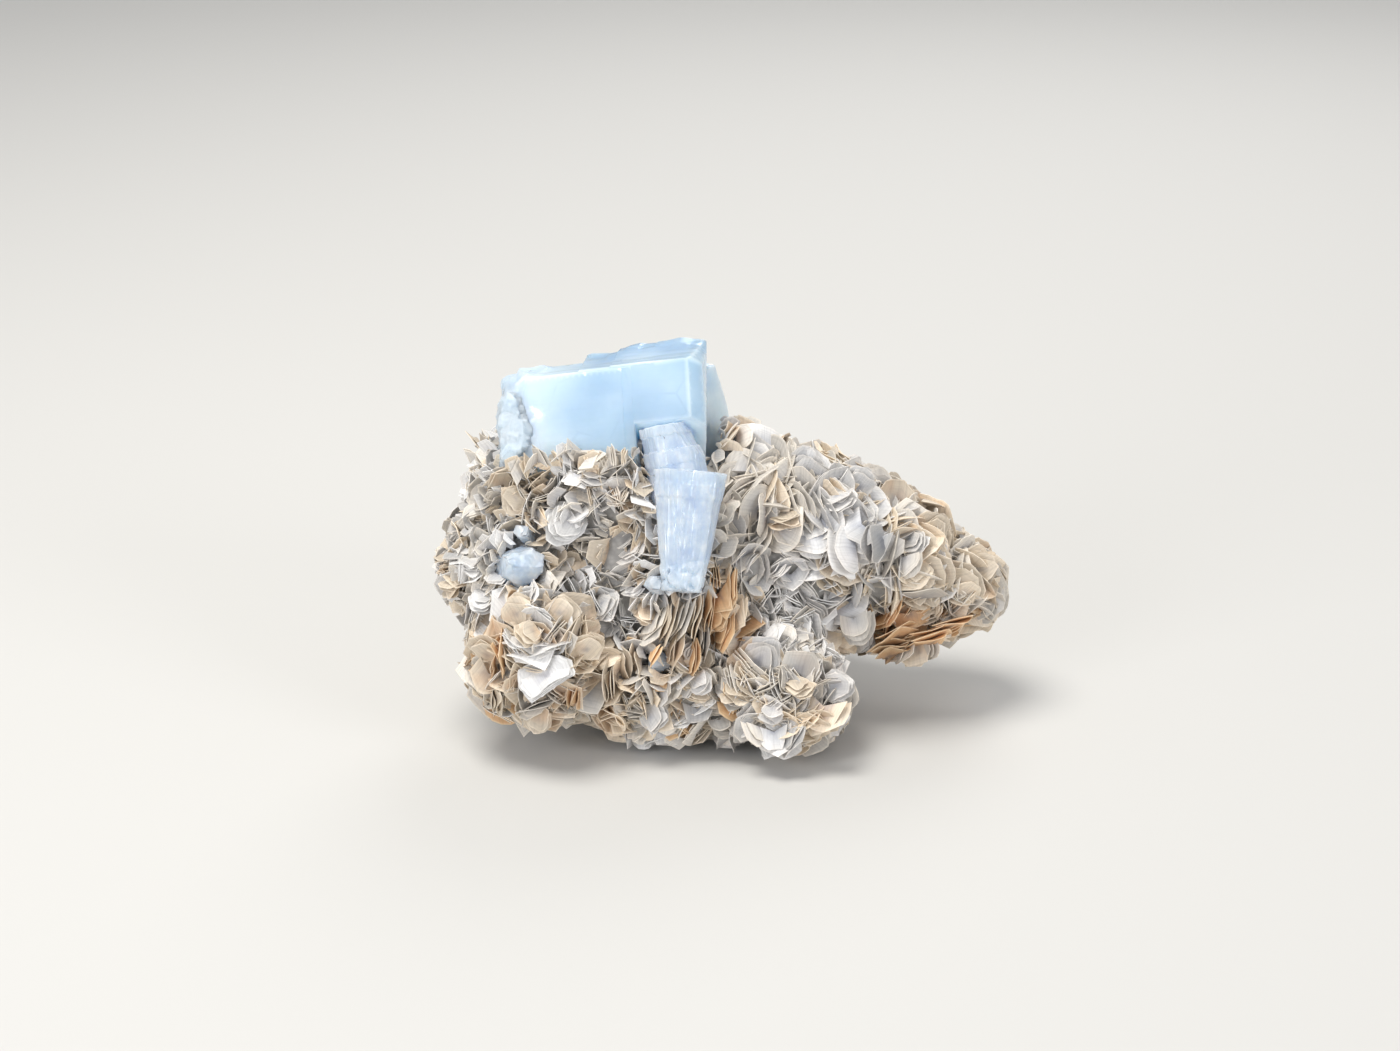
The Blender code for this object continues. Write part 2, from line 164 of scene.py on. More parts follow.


# Aquamarine: glassy growth faces over a cloudy inside, milkier at the broken end and lilac-white in the younger
# crystals. The milky tone also carries painted light on edges and shaded faces, and painted shade on the top
# side. paleness, milkiness with its painted light, and frost are read from the mesh.
def aquamarine(name, blue, milkAndPaintedLight, lilac, clear, density):
    made, add = newMaterial(name)
    place = add("TexCoord", out="Object")
    paleness, milkiness, frost = (add("Attribute", {"attribute_name": title}, out="Fac") for title in berylTags)
    # striae 0.5 mm apart run along each prism; ribbing holds its place across the prism, in millimetres
    ribbing = add("Attribute", {"attribute_name": "ribbing"}, out="Vector")
    striae = add("TexNoise", Vector=ribbing, Scale=1.1, Detail=4.0, Roughness=0.6)
    striaeTone = add("ValToRGB", stops=[(0.36, 0.90), (0.60, 1.0)], Fac=striae)
    # clouds about 9 mm across
    cloud = add("TexNoise", Vector=place, Scale=110.0, Detail=4.0, Roughness=0.6)
    # the milky tone: real cloudiness, plus painted light where the mesh asks for it; it also lowers the
    # see-through share
    milkyAndPaintedLight = add("Math", clamped, in0=cloud, in1=0.35, in2=milkiness)
    colour = add("Mix", mixed, in0=milkyAndPaintedLight, in6=blue, in7=milkAndPaintedLight, out=2)
    # healed cracks 14 mm apart come and go
    crack = add("TexVoronoi", {"feature": "DISTANCE_TO_EDGE"}, Vector=place, Scale=70.0)
    crack = add("MapRange", Value=crack, From_Min=0.004, From_Max=0.03, To_Min=0.3, To_Max=0.0)
    crackShown = add("MapRange", Value=cloud, From_Min=0.50, From_Max=0.68)
    crack = add("Math", multiply, in0=crack, in1=crackShown)
    colour = add("Mix", mixed, in0=crack, in6=colour, in7="#9DBBD6", out=2)
    # the younger crystals hold wisps about 4 mm across
    wisp = add("TexNoise", Vector=place, Scale=260.0, Detail=5.0, Roughness=0.65)
    lilacTone = add("ValToRGB", stops=[(0.34, "#C2D2EA"), (0.50, lilac), (0.66, "#E3ECF7")], Fac=wisp)
    colour = add("Mix", mixed, in0=paleness, in6=colour, in7=lilacTone, out=2)
    rind = add("Math", multiply, in0=frost, in1=0.85)
    colour = add("Mix", mixed, in0=rind, in6=colour, in7="#B4C5D5", out=2)
    ribbed = add("MapRange", Value=paleness, To_Min=0.15, To_Max=0.5)
    colour = add("Mix", multiplied, in0=ribbed, in6=colour, in7=striaeTone, out=2)
    seeThrough = add("Math", clamped, in0=milkyAndPaintedLight, in1=-0.35, in2=clear)
    seeThrough = add("Math", clamped, in0=frost, in1=-0.4, in2=seeThrough)
    rough = add("MapRange", Value=frost, To_Min=0.12, To_Max=0.55)
    # etch grain 0.7 mm across
    grain = add("TexNoise", Vector=place, Scale=1400.0, Detail=3.0)
    etched = add("Math", multiply, in0=grain, in1=frost)
    ribHeight = add("Math", multiply, in0=striae, in1=ribbed)
    etched = add("Math", plus, in0=etched, in1=ribHeight)
    bump = add("Bump", Strength=0.5, Distance=0.25 * mm, Height=etched)
    shader = add("BsdfPrincipled", {"subsurface_method": "RANDOM_WALK"}, Base_Color=colour, Roughness=rough,
                 Normal=bump, IOR=1.577, Transmission_Weight=seeThrough, Subsurface_Weight=0.75,
                 Subsurface_Radius=(0.75, 0.9, 1.0), Subsurface_Scale=9 * mm)
    absorb = add("VolumeAbsorption", Color="#B4D8F2", Density=density)
    add("OutputMaterial", Surface=shader, Volume=absorb)
    return made


# Albite: a sugary crust of tiny white feldspar grains, dull and slightly see-through, and bluish here over
# the crystal.
def sugaryAlbite():
    made, add = newMaterial("sugaryAlbite")
    place = add("TexCoord", out="Object")
    # grains 0.9 mm across, patches 5 mm across
    grains = add("TexVoronoi", Vector=place, Scale=1100.0)
    patches = add("TexNoise", Vector=place, Scale=180.0, Detail=4.0)
    colour = add("ValToRGB", stops=[(0.3, "#B4C6D6"), (0.5, "#C3D4E4"), (0.7, "#D2E1EF")], Fac=patches)
    rough = add("MapRange", Value=patches, To_Min=0.4, To_Max=0.65)
    bump = add("Bump", Strength=0.45, Distance=0.25 * mm, Height=grains)
    shader = add("BsdfPrincipled", Base_Color=colour, Roughness=rough, Normal=bump, IOR=1.53,
                 Subsurface_Weight=0.7, Subsurface_Radius=(0.85, 0.93, 1.0), Subsurface_Scale=6 * mm)
    add("OutputMaterial", Surface=shader)
    return made


# The ground between the leaves: crushed mica flakes and clay, matt and grey-buff.
def crushedMica():
    made, add = newMaterial("crushedMica")
    place = add("TexCoord", out="Object")
    # flakes 1.4 mm across, patches 6 mm across
    flakes = add("TexVoronoi", Vector=place, Scale=700.0)
    flakeTone = add("ValToRGB", stops=[(0.0, 1.0), (0.6, 0.72)], Fac=flakes)
    patches = add("TexNoise", Vector=place, Scale=160.0, Detail=4.0)
    colour = add("ValToRGB", stops=[(0.3, "#9E9B98"), (0.6, "#BEBBB7"), (0.75, "#C9C1B4")], Fac=patches)
    colour = add("Mix", multiplied, in0=1.0, in6=colour, in7=flakeTone, out=2)
    bump = add("Bump", Strength=0.7, Distance=0.4 * mm, Height=patches)
    shader = add("BsdfPrincipled", Base_Color=colour, Roughness=0.6, Normal=bump)
    add("OutputMaterial", Surface=shader)
    return made


def newObject(name, mesh, finishes=()):
    obj = bpy.data.objects.new(name, mesh)
    bpy.context.scene.collection.objects.link(obj)
    for finish in finishes:
        mesh.materials.append(finish)
    return obj


def keepPiece(piece, slot, *replaced):
    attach(piece, "root")
    if replaced:
        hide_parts(*replaced)
    return piece


def meshArrays(obj):
    # points in millimetres and triangles
    obj.data.calc_loop_triangles()
    points = np.array([vert.co for vert in obj.data.vertices])
    faces = np.array([face.vertices for face in obj.data.loop_triangles])
    world = np.array(obj.matrix_world)
    return (points @ world[:3, :3].T + world[:3, 3]) / mm, faces


def treeOf(*objects):
    # one tree for finding the nearest surface, in millimetres
    allPoints, allFaces, start = [], [], 0
    for obj in objects:
        points, faces = meshArrays(obj)
        allPoints += points.tolist()
        allFaces += (faces + start).tolist()
        start += len(points)
    return BVHTree.FromPolygons(allPoints, allFaces)


def unit(vector):
    return vector / np.linalg.norm(vector, axis=-1, keepdims=True)


def turned(first, second, angle):
    # the direction that angle away from first, towards second
    return math.cos(angle) * first + math.sin(angle) * second


def clamp(value, low=0.0, high=1.0):
    return max(low, min(high, value))


def above(tree, point):
    # how far a point stands out of a closed surface, less than 0 inside it
    near, normal, _, distance = tree.find_nearest(Vector(point))
    return distance if (Vector(point) - near).dot(normal) > 0 else -distance


def smoothFaces(mesh, sharp=None):
    mesh.polygons.foreach_set("use_smooth", np.ones(len(mesh.polygons), bool))
    if sharp:
        mesh.set_sharp_from_angle(angle=math.radians(sharp))


def remesh(obj, voxel):
    fuse = obj.modifiers.new("fuse", "REMESH")
    fuse.mode = "VOXEL"
    fuse.voxel_size = voxel * mm


def appliedMesh(obj):
    # the object's mesh with its modifiers applied
    bpy.context.view_layer.update()
    return bpy.data.meshes.new_from_object(obj.evaluated_get(bpy.context.evaluated_depsgraph_get()))


# A leaf is a thin curved sheet about its root: out is the way it grows and face the way its flat looks.
# It opens that many degrees to each side, and none of it comes lower than lowest.
leafShape = {"opening": 112, "cornerShift": 0.45, "breakCurve": 1.5, "bow": (-0.2, 1), "outlineNoise": 0.02,
             "ringCurve": 0.8, "waves": 3, "rimThickness": 0.16, "sharp": 50, "lowest": 0.05}


def leafArrays(leaves, segments, rings, sides, seed):
    # a fan of rings on each flat, joined by a wall round the rim; inward is the distance from the rim, and
    # sideways the distance from the line along which the leaf grew; with no sides, each leaf brings its outline
    closed = sides == 0
    rng = np.random.default_rng(seed)
    count = len(leaves)
    column = {key: np.array([leaf[key] for leaf in leaves], float).reshape(count, 1, -1)
              for key in leaves[0] if key != "kind"}
    radius, width, cup, bend, thick, wave = (column[key] for key in (
        "radius", "width", "cup", "bend", "thick", "wave"))
    root, out, face = (column[key][:, None] for key in ("root", "out", "face"))
    side = np.cross(face, out)
    if closed:
        angle = np.tile(np.linspace(-math.pi, math.pi, segments + 1)[:-1], (count, 1))
        rim = column["outline"][:, 0] * (1 + rng.normal(0, leafShape["outlineNoise"], (count, segments)))
    else:
        # broken outline: corners at uneven angles, with a slightly bowed side between each two
        opening = math.radians(leafShape["opening"])
        spans = np.cumsum(1 + rng.uniform(-1, 1, (count, sides)) * leafShape["cornerShift"], axis=1)
        ends = np.concatenate([np.zeros((count, 1)), spans / spans[:, -1:]], axis=1)
        corners = ends * 2 * opening - opening
        depth = 1 - column["broken"][:, 0] * rng.uniform(0, 1, (count, sides + 1)) ** leafShape["breakCurve"]
        share = np.linspace(0, 1, segments // sides + 1)[:-1]
        bow = column["bow"] * rng.uniform(*leafShape["bow"], (count, sides, 1))
        swollen = 1 + bow * 4 * share * (1 - share)
        x, y = (np.concatenate([(((1 - share) * ends[:, :-1, None] + share * ends[:, 1:, None])
                                 * swollen).reshape(count, -1), ends[:, -1:]], axis=1)
                for ends in (depth * np.sin(corners), depth * np.cos(corners)))
        angle, rim = np.arctan2(x, y), np.hypot(x, y)
    steps = angle.shape[1]
    turn, rim = angle[:, None, :], rim[:, None, :]
    reach = np.linspace(0, 1, rings + 1)[1:, None] ** leafShape["ringCurve"]
    along = rim * reach
    across, up = along * np.sin(turn) * width, along * np.cos(turn)
    phase = rng.uniform(0, 2 * math.pi, (count, 1, 1))
    waves = wave * rng.normal(0, 1, (count, 1, 1)) * np.sin(leafShape["waves"] * turn + phase) * along ** 2
    lift = cup * across ** 2 / 2 + bend * up ** 2 / 2 + waves
    sheets = []
    for sign in (1, -1):
        half = (thick * (1 - reach ** 2) + leafShape["rimThickness"]) / 2
        ringPoints = (root + (across * radius)[..., None] * side + (up * radius)[..., None] * out
                      + (lift * radius + sign * half)[..., None] * face)
        centre = root[:, 0] + sign * (thick + leafShape["rimThickness"]) / 2 * face[:, 0]
        sheets.append(np.concatenate([centre, ringPoints.reshape(count, -1, 3)], axis=1))
    layer = 1 + rings * steps
    spans = [(step, (step + 1) % steps) for step in range(steps if closed else steps - 1)]
    triangles = []
    for a, b in spans:
        triangles.append((0, 1 + b, 1 + a))
        for ring in range(rings - 1):
            low, high = 1 + ring * steps, 1 + (ring + 1) * steps
            triangles += [(low + a, low + b, high + b), (low + a, high + b, high + a)]
    edge = 1 + (rings - 1) * steps
    walls = [(edge + a, edge + b) for a, b in spans]
    if not closed:
        first = [0] + [1 + ring * steps for ring in range(rings)]
        last = [0] + [steps + ring * steps for ring in range(rings)]
        walls += [(b, a) for a, b in zip(first[:-1], first[1:])] + list(zip(last[:-1], last[1:]))
    under = [(layer + a, layer + c, layer + b) for a, b, c in triangles]
    rims = [corner for a, b in walls for corner in ((a, b, layer + b), (a, layer + b, layer + a))]
    inward, sideways = (np.concatenate([middle[:, 0], (radius * rings).reshape(count, -1)], axis=1)
                        for middle, rings in ((radius, rim - along), (radius * 0, across)))
    return (np.concatenate(sheets, axis=1), np.array(triangles + under + rims), np.tile(inward, (1, 2)),
            np.tile(sideways, (1, 2)))


def leavesToMesh(name, groups):
    # groups holds (leaves, segments, rings, sides, seed); all of them go into one mesh
    points, faces, tags, kinds, start = [], [], [], [], 0
    for leaves, *pattern in groups:
        if not leaves:
            continue
        corners, pattern, inward, sideways = leafArrays(leaves, *pattern)
        count, size = corners.shape[:2]
        shade, seed = (np.repeat([leaf[key] for leaf in leaves], size) for key in ("shade", "seed"))
        points.append(corners.reshape(-1, 3) * mm)
        faces.append((pattern[None] + (np.arange(count) * size)[:, None, None]).reshape(-1, 3) + start)
        tags.append((shade, inward.reshape(-1), sideways.reshape(-1), seed))
        kinds.append(np.repeat([micaOrder.index(leaf["kind"]) for leaf in leaves], len(pattern)))
        start += count * size
    points, faces = np.concatenate(points), np.concatenate(faces)
    points[:, 2] = np.maximum(points[:, 2], leafShape["lowest"] * mm)
    mesh = bpy.data.meshes.new(name)
    mesh.from_pydata(points, [], faces)
    for title, values in zip(leafTags, zip(*tags)):
        mesh.attributes.new(title, "FLOAT", "POINT").data.foreach_set(
            "value", np.concatenate(values).astype(np.float32))
    mesh.polygons.foreach_set("material_index", np.concatenate(kinds).astype(np.int32))
    smoothFaces(mesh, leafShape["sharp"])
    return mesh


smallNames = ["aquamarine_stub", "aquamarine_chip_upper", "aquamarine_chip_lower", "aquamarine_recess"]
keepOutNames = ["aquamarine_cluster", "albite_crust"] + smallNames
bookNames = sorted(name for name in nodes if name.startswith("mica_book_"))
keepOut, bookTree = (treeOf(*(nodes[name] for name in names)) for names in (keepOutNames, bookNames))
keepPoints = np.concatenate([meshArrays(nodes[name])[0] for name in keepOutNames])
keepMiddle = (keepPoints.min(axis=0) + keepPoints.max(axis=0)) / 2
keepSpan = np.linalg.norm(keepPoints - keepMiddle, axis=1).max()

# The skin of the matrix, without the sockets of the crystals, the slots of the books and the resting flat,
# whose faces lie below floor and look down more steeply than down.
skinClear = {"crystal": 0.6, "book": 0.3, "floor": 0.3, "down": -0.9}
skinPoints, skinFaces = meshArrays(nodes["mica_matrix"])
wholeSkin = treeOf(nodes["mica_matrix"])
corner = skinPoints[skinFaces]
faceCentre = corner.mean(axis=1)
faceNormal = np.cross(corner[:, 1] - corner[:, 0], corner[:, 2] - corner[:, 0])
faceArea = np.linalg.norm(faceNormal, axis=1) / 2
faceNormal = faceNormal / np.maximum(faceArea[:, None] * 2, 1e-9)
isOpen = np.array([keepOut.find_nearest(Vector(point))[3] > skinClear["crystal"]
                   and bookTree.find_nearest(Vector(point))[3] > skinClear["book"] for point in faceCentre])
isOpen &= ~((faceNormal[:, 2] < skinClear["down"]) & (faceCentre[:, 2] < skinClear["floor"]))
openFaces = skinFaces[isOpen]
openCentre, openNormal, openArea = faceCentre[isOpen], faceNormal[isOpen], faceArea[isOpen]
print("open skin", len(openArea), "faces", round(openArea.sum()), "mm2")


def skinNormal(point, reach=8.0):
    weight = np.clip(1 - np.linalg.norm(openCentre - point, axis=1) / reach, 0, 1) * openArea
    return unit((openNormal * weight[:, None]).sum(axis=0) + 1e-9)


def sightLine(across, up):
    # the camera's place and the point it aims at, that far across and up from the middle of the view
    return Vector(shot["eye"]), Vector(shot["target"]) + Vector((across, 0, 0)) + Vector(shot["sightUp"]) * up


def seenAt(across, up):
    # the point of the matrix that the camera sees there, or the nearest one past its outline
    eye, aim = sightLine(across, up)
    return np.array(wholeSkin.ray_cast(eye, aim - eye)[0] or wholeSkin.find_nearest(aim)[0])


def footUp(across, top=23.0, bottom=5.0):
    # how high the matrix shows below the big crystal, this far across
    for up in np.arange(top, bottom, -0.5):
        eye, aim = sightLine(across, up)
        matrixAt, crystalAt = (tree.ray_cast(eye, (aim - eye).normalized())[3] or math.inf
                               for tree in (wholeSkin, keepOut))
        if matrixAt < crystalAt:
            return up
    return bottom


# Zones of the matrix: centre, how far the zone counts, distance between its clumps, what share of their lean
# the leaves have, leaf radius, leaves in a bundle, thickness in the middle of a 6 mm leaf, how broken and how
# bowed the outline is, how wavy the leaf is, its least and most sides, share of each kind of clump and of mica.
zoneColumns = ("at", "reach", "gap", "upright", "radius", "bundle", "lens", "broken", "bow", "wave", "sides",
               "clumps", "kinds")
zoneRows = {
    "topLeft": ((-38, -12, 60), 20, 4.8, 0.78, (2.8, 5.2), (1, 3), (0.12, 0.4), 0.38, 0.03, 0.06, (3, 4),
        {"chaos": 5, "star": 1, "fan": 3, "shingle": 2},
        {"olive": 4.5, "buff": 3, "silver": 3.5, "white": 3.5}),
    "left": ((-60, -10, 42), 17, 4.8, 0.78, (2.8, 5.2), (1, 3), (0.12, 0.4), 0.38, 0.03, 0.06, (3, 4),
        {"chaos": 5, "rose": 1, "star": 1, "fan": 2, "shingle": 2},
        {"silver": 4, "olive": 3, "white": 3, "buff": 2}),
    "leftMiddle": ((-22, -22, 45), 18, 4.8, 0.78, (3.0, 5.6), (1, 3), (0.12, 0.45), 0.36, 0.03, 0.06, (3, 4),
        {"chaos": 5, "rose": 1, "star": 1, "fan": 2, "shingle": 2},
        {"silver": 5, "olive": 2, "buff": 2, "white": 6}),
    "rosetteBall": ((-43, -32, 24), 19, 7.4, 1, (5.5, 9.0), (2, 3), (0.2, 0.6), 0.24, 0.11, 0.16, (4, 4),
        {"rose": 6, "chaos": 3, "star": 1, "shingle": 1}, {"buff": 7, "olive": 3, "white": 1.2, "rusty": 0.5}),
    "below": ((-8, -30, 24), 17, 5.4, 1, (3.5, 6.5), (1, 3), (0.2, 0.7), 0.28, 0.07, 0.08, (3, 4),
        {"chaos": 4, "rose": 1, "star": 1, "fan": 2, "shingle": 2},
        {"olive": 3.5, "silver": 4, "buff": 3, "white": 1, "rusty": 0.7}),
    "rustSeam": ((2, -24, 34), 8, 5.0, 1, (4.0, 6.5), (1, 3), (0.2, 0.6), 0.3, 0.05, 0.06, (3, 4),
        {"chaos": 1, "fan": 2, "shingle": 3}, {"rusty": 4, "buff": 3, "olive": 1}),
    "foot": ((14, -38, 14), 17, 6.0, 1, (4.5, 7.5), (1, 3), (0.3, 0.9), 0.24, 0.09, 0.09, (4, 4),
        {"chaos": 4, "rose": 3, "star": 2, "fan": 1, "shingle": 2},
        {"olive": 5, "silver": 4, "buff": 2.5, "white": 0.4}),
    "saddle": ((14, -12, 62), 16, 7.6, 0.85, (6.0, 9.0), (1, 2), (0.8, 2.0), 0.2, 0.11, 0.06, (6, 6),
        {"chaos": 4, "rose": 1, "star": 1, "shingle": 5}, {"olive": 7, "buff": 2, "silver": 1}),
    "valley": ((18, -18, 38), 15, 5.6, 0.85, (4.0, 7.0), (1, 3), (0.2, 0.7), 0.28, 0.07, 0.06, (3, 4),
        {"chaos": 5, "rose": 2, "star": 3, "fan": 1, "shingle": 1}, {"silver": 8, "olive": 1, "white": 6.5}),
    "rightLobe": ((36, -12, 46), 20, 7.3, 0.78, (6.5, 9.5), (1, 2), (0.9, 2.4), 0.18, 0.12, 0.06, (6, 6),
        {"chaos": 5, "rose": 1, "star": 2, "shingle": 6}, {"silver": 5, "olive": 5, "buff": 2}),
    "rightTip": ((60, -2, 36), 18, 6.8, 0.85, (6.0, 9.0), (1, 2), (0.8, 2.2), 0.18, 0.12, 0.08, (6, 6),
        {"chaos": 4, "rose": 2, "star": 1, "shingle": 6}, {"olive": 6, "buff": 4}),
    "rightUnder": ((52, -6, 20), 14, 6.0, 1, (4.5, 7.5), (1, 3), (0.3, 1.0), 0.24, 0.08, 0.09, (4, 4),
        {"chaos": 4, "rose": 2, "shingle": 3}, {"rusty": 2.5, "buff": 4, "olive": 2}),
    "back": ((-5, 45, 40), 46, 9.0, 1, (6.0, 9.5), (1, 1), (0.8, 1.8), 0.2, 0.1, 0.08, (4, 4),
        {"chaos": 4, "rose": 3, "star": 1, "shingle": 2},
        {"olive": 4, "silver": 3, "buff": 4, "white": 0.5, "rusty": 0.3}),
}
zones = {name: dict(zip(zoneColumns, row)) for name, row in zoneRows.items()}
zoneNames = list(zones)
zoneAt, zoneReach = (np.array([zone[key] for zone in zones.values()], float) for key in ("at", "reach"))

# Clumps with a place of their own: across, up, kind, leaf radius, number of leaves, mica.
markedClumps = [
    (48.3, -11.6, "star", 8.5, 11, "silver"), (63.0, -11.0, "star", 7.5, 9, "silver"),
    (29.4, -11.4, "star", 8.0, 10, "silver"), (49.5, 0.9, "star", 7.5, 9, "olive"),
    (63.0, -2.3, "rose", 7.5, 10, "olive"), (14.2, -10.9, "cups", 6.5, 16, "silver"),
    (26.0, 8.5, "rose", 9.0, 9, "olive"), (36.0, 3.0, "rose", 9.0, 9, "silver"),
    (-44.5, -21.5, "rose", 8.5, 18, "silver"), (-25.0, -30.0, "rose", 8.5, 18, "buff"),
    (-51.0, -34.5, "rose", 8.0, 16, "buff"), (29.0, -46.0, "rose", 8.0, 9, "olive"),
    (-37.0, -46.0, "rose", 8.0, 14, "buff"), (-33.0, -23.0, "rose", 7.5, 14, "buff"),
    (-30.0, -40.0, "rose", 7.5, 14, "buff"), (16.0, -52.0, "rose", 7.0, 8, "silver"),
    (-51.5, 22.0, "rose", 4.5, 12, "buff"), (-46.5, 20.5, "rose", 4.0, 10, "buff"),
    (50.0, -18.0, "rose", 8.0, 9, "buff"), (-41.5, -40.5, "rose", 6.5, 12, "buff"),
]

# Single leaves with a place of their own: across and up of the root, way it grows (0 is up and 90 to the
# right), how far it comes forward, how far its flat is turned from facing forward, radius, leaves in it, mica.
markedLeaves = [
    (39.0, -24.0, 172, 0.3, 15, 6.5, 3, "olive"), (30.5, -44.5, 188, 0.3, 15, 8.0, 2, "buff"),
    (18.4, -51.0, 178, 0.4, 10, 6.5, 2, "silver"), (22.5, -51.0, 195, 0.2, 60, 6.5, 3, "silver"),
    (14.0, -50.0, 160, 0.4, -40, 6.0, 2, "olive"), (5.4, -17.0, 160, 0.5, 25, 7.5, 2, "rusty"),
    (8.0, -15.0, 168, 0.6, 65, 7.5, 3, "rusty"), (3.0, -20.0, 175, 0.7, 75, 7.5, 3, "rusty"),
    (9.0, -21.0, 165, 0.5, 40, 6.5, 2, "buff"), (0.0, -22.0, 185, 0.8, 80, 8.0, 3, "buff"),
    (-3.5, -23.0, 190, 0.8, 70, 8.0, 3, "olive"), (-7.0, -23.5, 188, 0.8, 80, 8.0, 3, "buff"),
    (-10.5, -23.5, 195, 0.8, 65, 7.5, 3, "olive"), (6.0, -25.5, 178, 0.7, 60, 7.0, 3, "rusty"),
    (1.5, -27.5, 176, 0.7, 80, 7.5, 3, "olive"), (-5.5, -29.5, 182, 0.7, 72, 7.5, 3, "buff"),
    (-10.0, -30.0, 198, 0.6, 70, 7.0, 2, "rusty"), (-1.5, -32.0, 170, 0.7, 66, 7.0, 3, "rusty"),
    (45.0, -29.5, 66, 0.3, 76, 8.5, 3, "rusty"), (50.0, -28.0, 68, 0.3, 80, 9.0, 3, "rusty"),
    (55.0, -26.0, 66, 0.3, 78, 9.0, 3, "rusty"), (60.0, -23.5, 72, 0.3, 82, 8.0, 2, "rusty"),
    (47.0, -26.5, 60, 0.3, 74, 8.0, 2, "rusty"), (53.0, -29.5, 182, 0.2, 25, 6.5, 2, "buff"),
    (56.0, -28.5, 165, 0.3, 60, 6.0, 3, "olive"), (50.5, -30.0, 200, 0.3, 70, 6.0, 2, "olive"),
    (-30.0, 12.0, 200, 0.8, 10, 5.0, 2, "silver"),
    (-45.3, -17.0, 185, 0.9, 30, 4.5, 2, "olive"), (-41.0, -16.5, 170, 0.9, 60, 4.5, 3, "silver"),
    (-37.5, -14.0, 140, 0.9, 20, 4.5, 2, "olive"), (-49.5, -12.5, 230, 0.9, 45, 4.5, 2, "silver"),
    (-15.7, 16.5, 350, 1.0, 40, 5.0, 2, "olive"), (-14.0, 18.5, 15, 1.0, 60, 4.5, 2, "buff"),
    (-17.0, 18.0, 340, 0.9, 70, 5.0, 3, "olive"), (-37.5, -8.0, 80, 0.9, 50, 4.0, 2, "buff"),
    (-49.0, -4.0, 300, 0.8, 30, 4.0, 2, "white"),
]

# For each kind of clump: twist of the flats about the way they grow, its spread, lean of the leaves off the
# axis from the first to the last, number of leaves, and how much they cup. Fans and shingles are rows of leaves
# with a space between each two, and spread is a fan's lean to each side.
clumpKinds = {
    "rose": {"twist": 0, "spread": 24, "lean": (12, 70), "leaves": (7, 11), "cup": -0.45},
    "cups": {"twist": 0, "spread": 8, "lean": (6, 50), "leaves": (14, 18), "cup": -1.1},
    "star": {"twist": 88, "spread": 16, "lean": (12, 70), "leaves": (7, 10), "cup": 0.15},
    "chaos": {"twist": 0, "spread": 90, "lean": (8, 66), "leaves": (6, 9), "cup": 0.1},
    "fan": {"spread": (20, 50), "leaves": (4, 6), "space": (0.8, 1.5), "cup": 0.15},
    "shingle": {"lean": (36, 66), "leaves": (4, 6), "space": (1.2, 2.8), "cup": 0.15},
}
# turn is the golden angle in radians; root is how far out the roots stand, as a share of the leaf radius;
# proud is how far the tips stand over the skin, and drop how far a leaf may be moved along the normal for it;
# markedGap is what a marked clump keeps free round its middle, as a share of its leaf radius
clumpShape = {"turn": 2.39996, "turnSpread": 0.2, "leanSpread": 7, "leanCurve": 1.3, "size": (0.75, 1.12),
              "root": 0.6, "starRoot": 0.45, "ownMica": 0.8, "proud": (-3.2, 1.6), "drop": (-6.0, 3.0),
              "bend": 0.18, "cupRange": (0.5, 1.3), "cupSpread": 0.10, "shade": (0.3, 0.9), "markedGap": 0.45,
              "gapShare": 0.7}
# part is the gap between two leaves of a bundle, and step how much smaller the next one is
leafBundle = {"part": (0.12, 0.3), "step": (0.04, 0.18), "swing": 16, "steadySwing": 0.3,
              "width": (0.75, 1.25), "steadyWidth": 0.8, "shadeSpread": 0.2, "leafShade": 0.07, "cupStep": 0.05}
# a bundle that reaches into a crystal is made smaller and moved out a few times, then left out
fitting = {"tries": 5, "lowest": 0.4, "into": 0.15, "shrink": 0.78, "follow": 0.2}


def zoneOf(point):
    return zoneNames[int(np.argmin(np.linalg.norm(zoneAt - point, axis=1) / zoneReach))]


def pick(rng, shares):
    return rng.choices(list(shares), list(shares.values()))[0]


def growthPoints(seed, taken, area, gap=None, tries=9000):
    # random places on the open skin, at least the zone's gap or the one given from each other
    rng = np.random.default_rng(seed)
    picks = rng.choice(len(area), tries, p=area / area.sum())
    mixA, mixB = np.sqrt(rng.uniform(0, 1, (tries, 1))), rng.uniform(0, 1, (tries, 1))
    corners = skinPoints[openFaces[picks]]
    spots = (1 - mixA) * corners[:, 0] + mixA * (1 - mixB) * corners[:, 1] + mixA * mixB * corners[:, 2]
    found = []
    for spot in spots:
        zone = zoneOf(spot)
        free = taken[:, 3] + (gap or zones[zone]["gap"] * clumpShape["gapShare"])
        if (np.linalg.norm(taken[:, :3] - spot, axis=1) > free).all():
            taken = np.vstack([taken, [*spot, 0]])
            found.append((spot, zone))
    return found


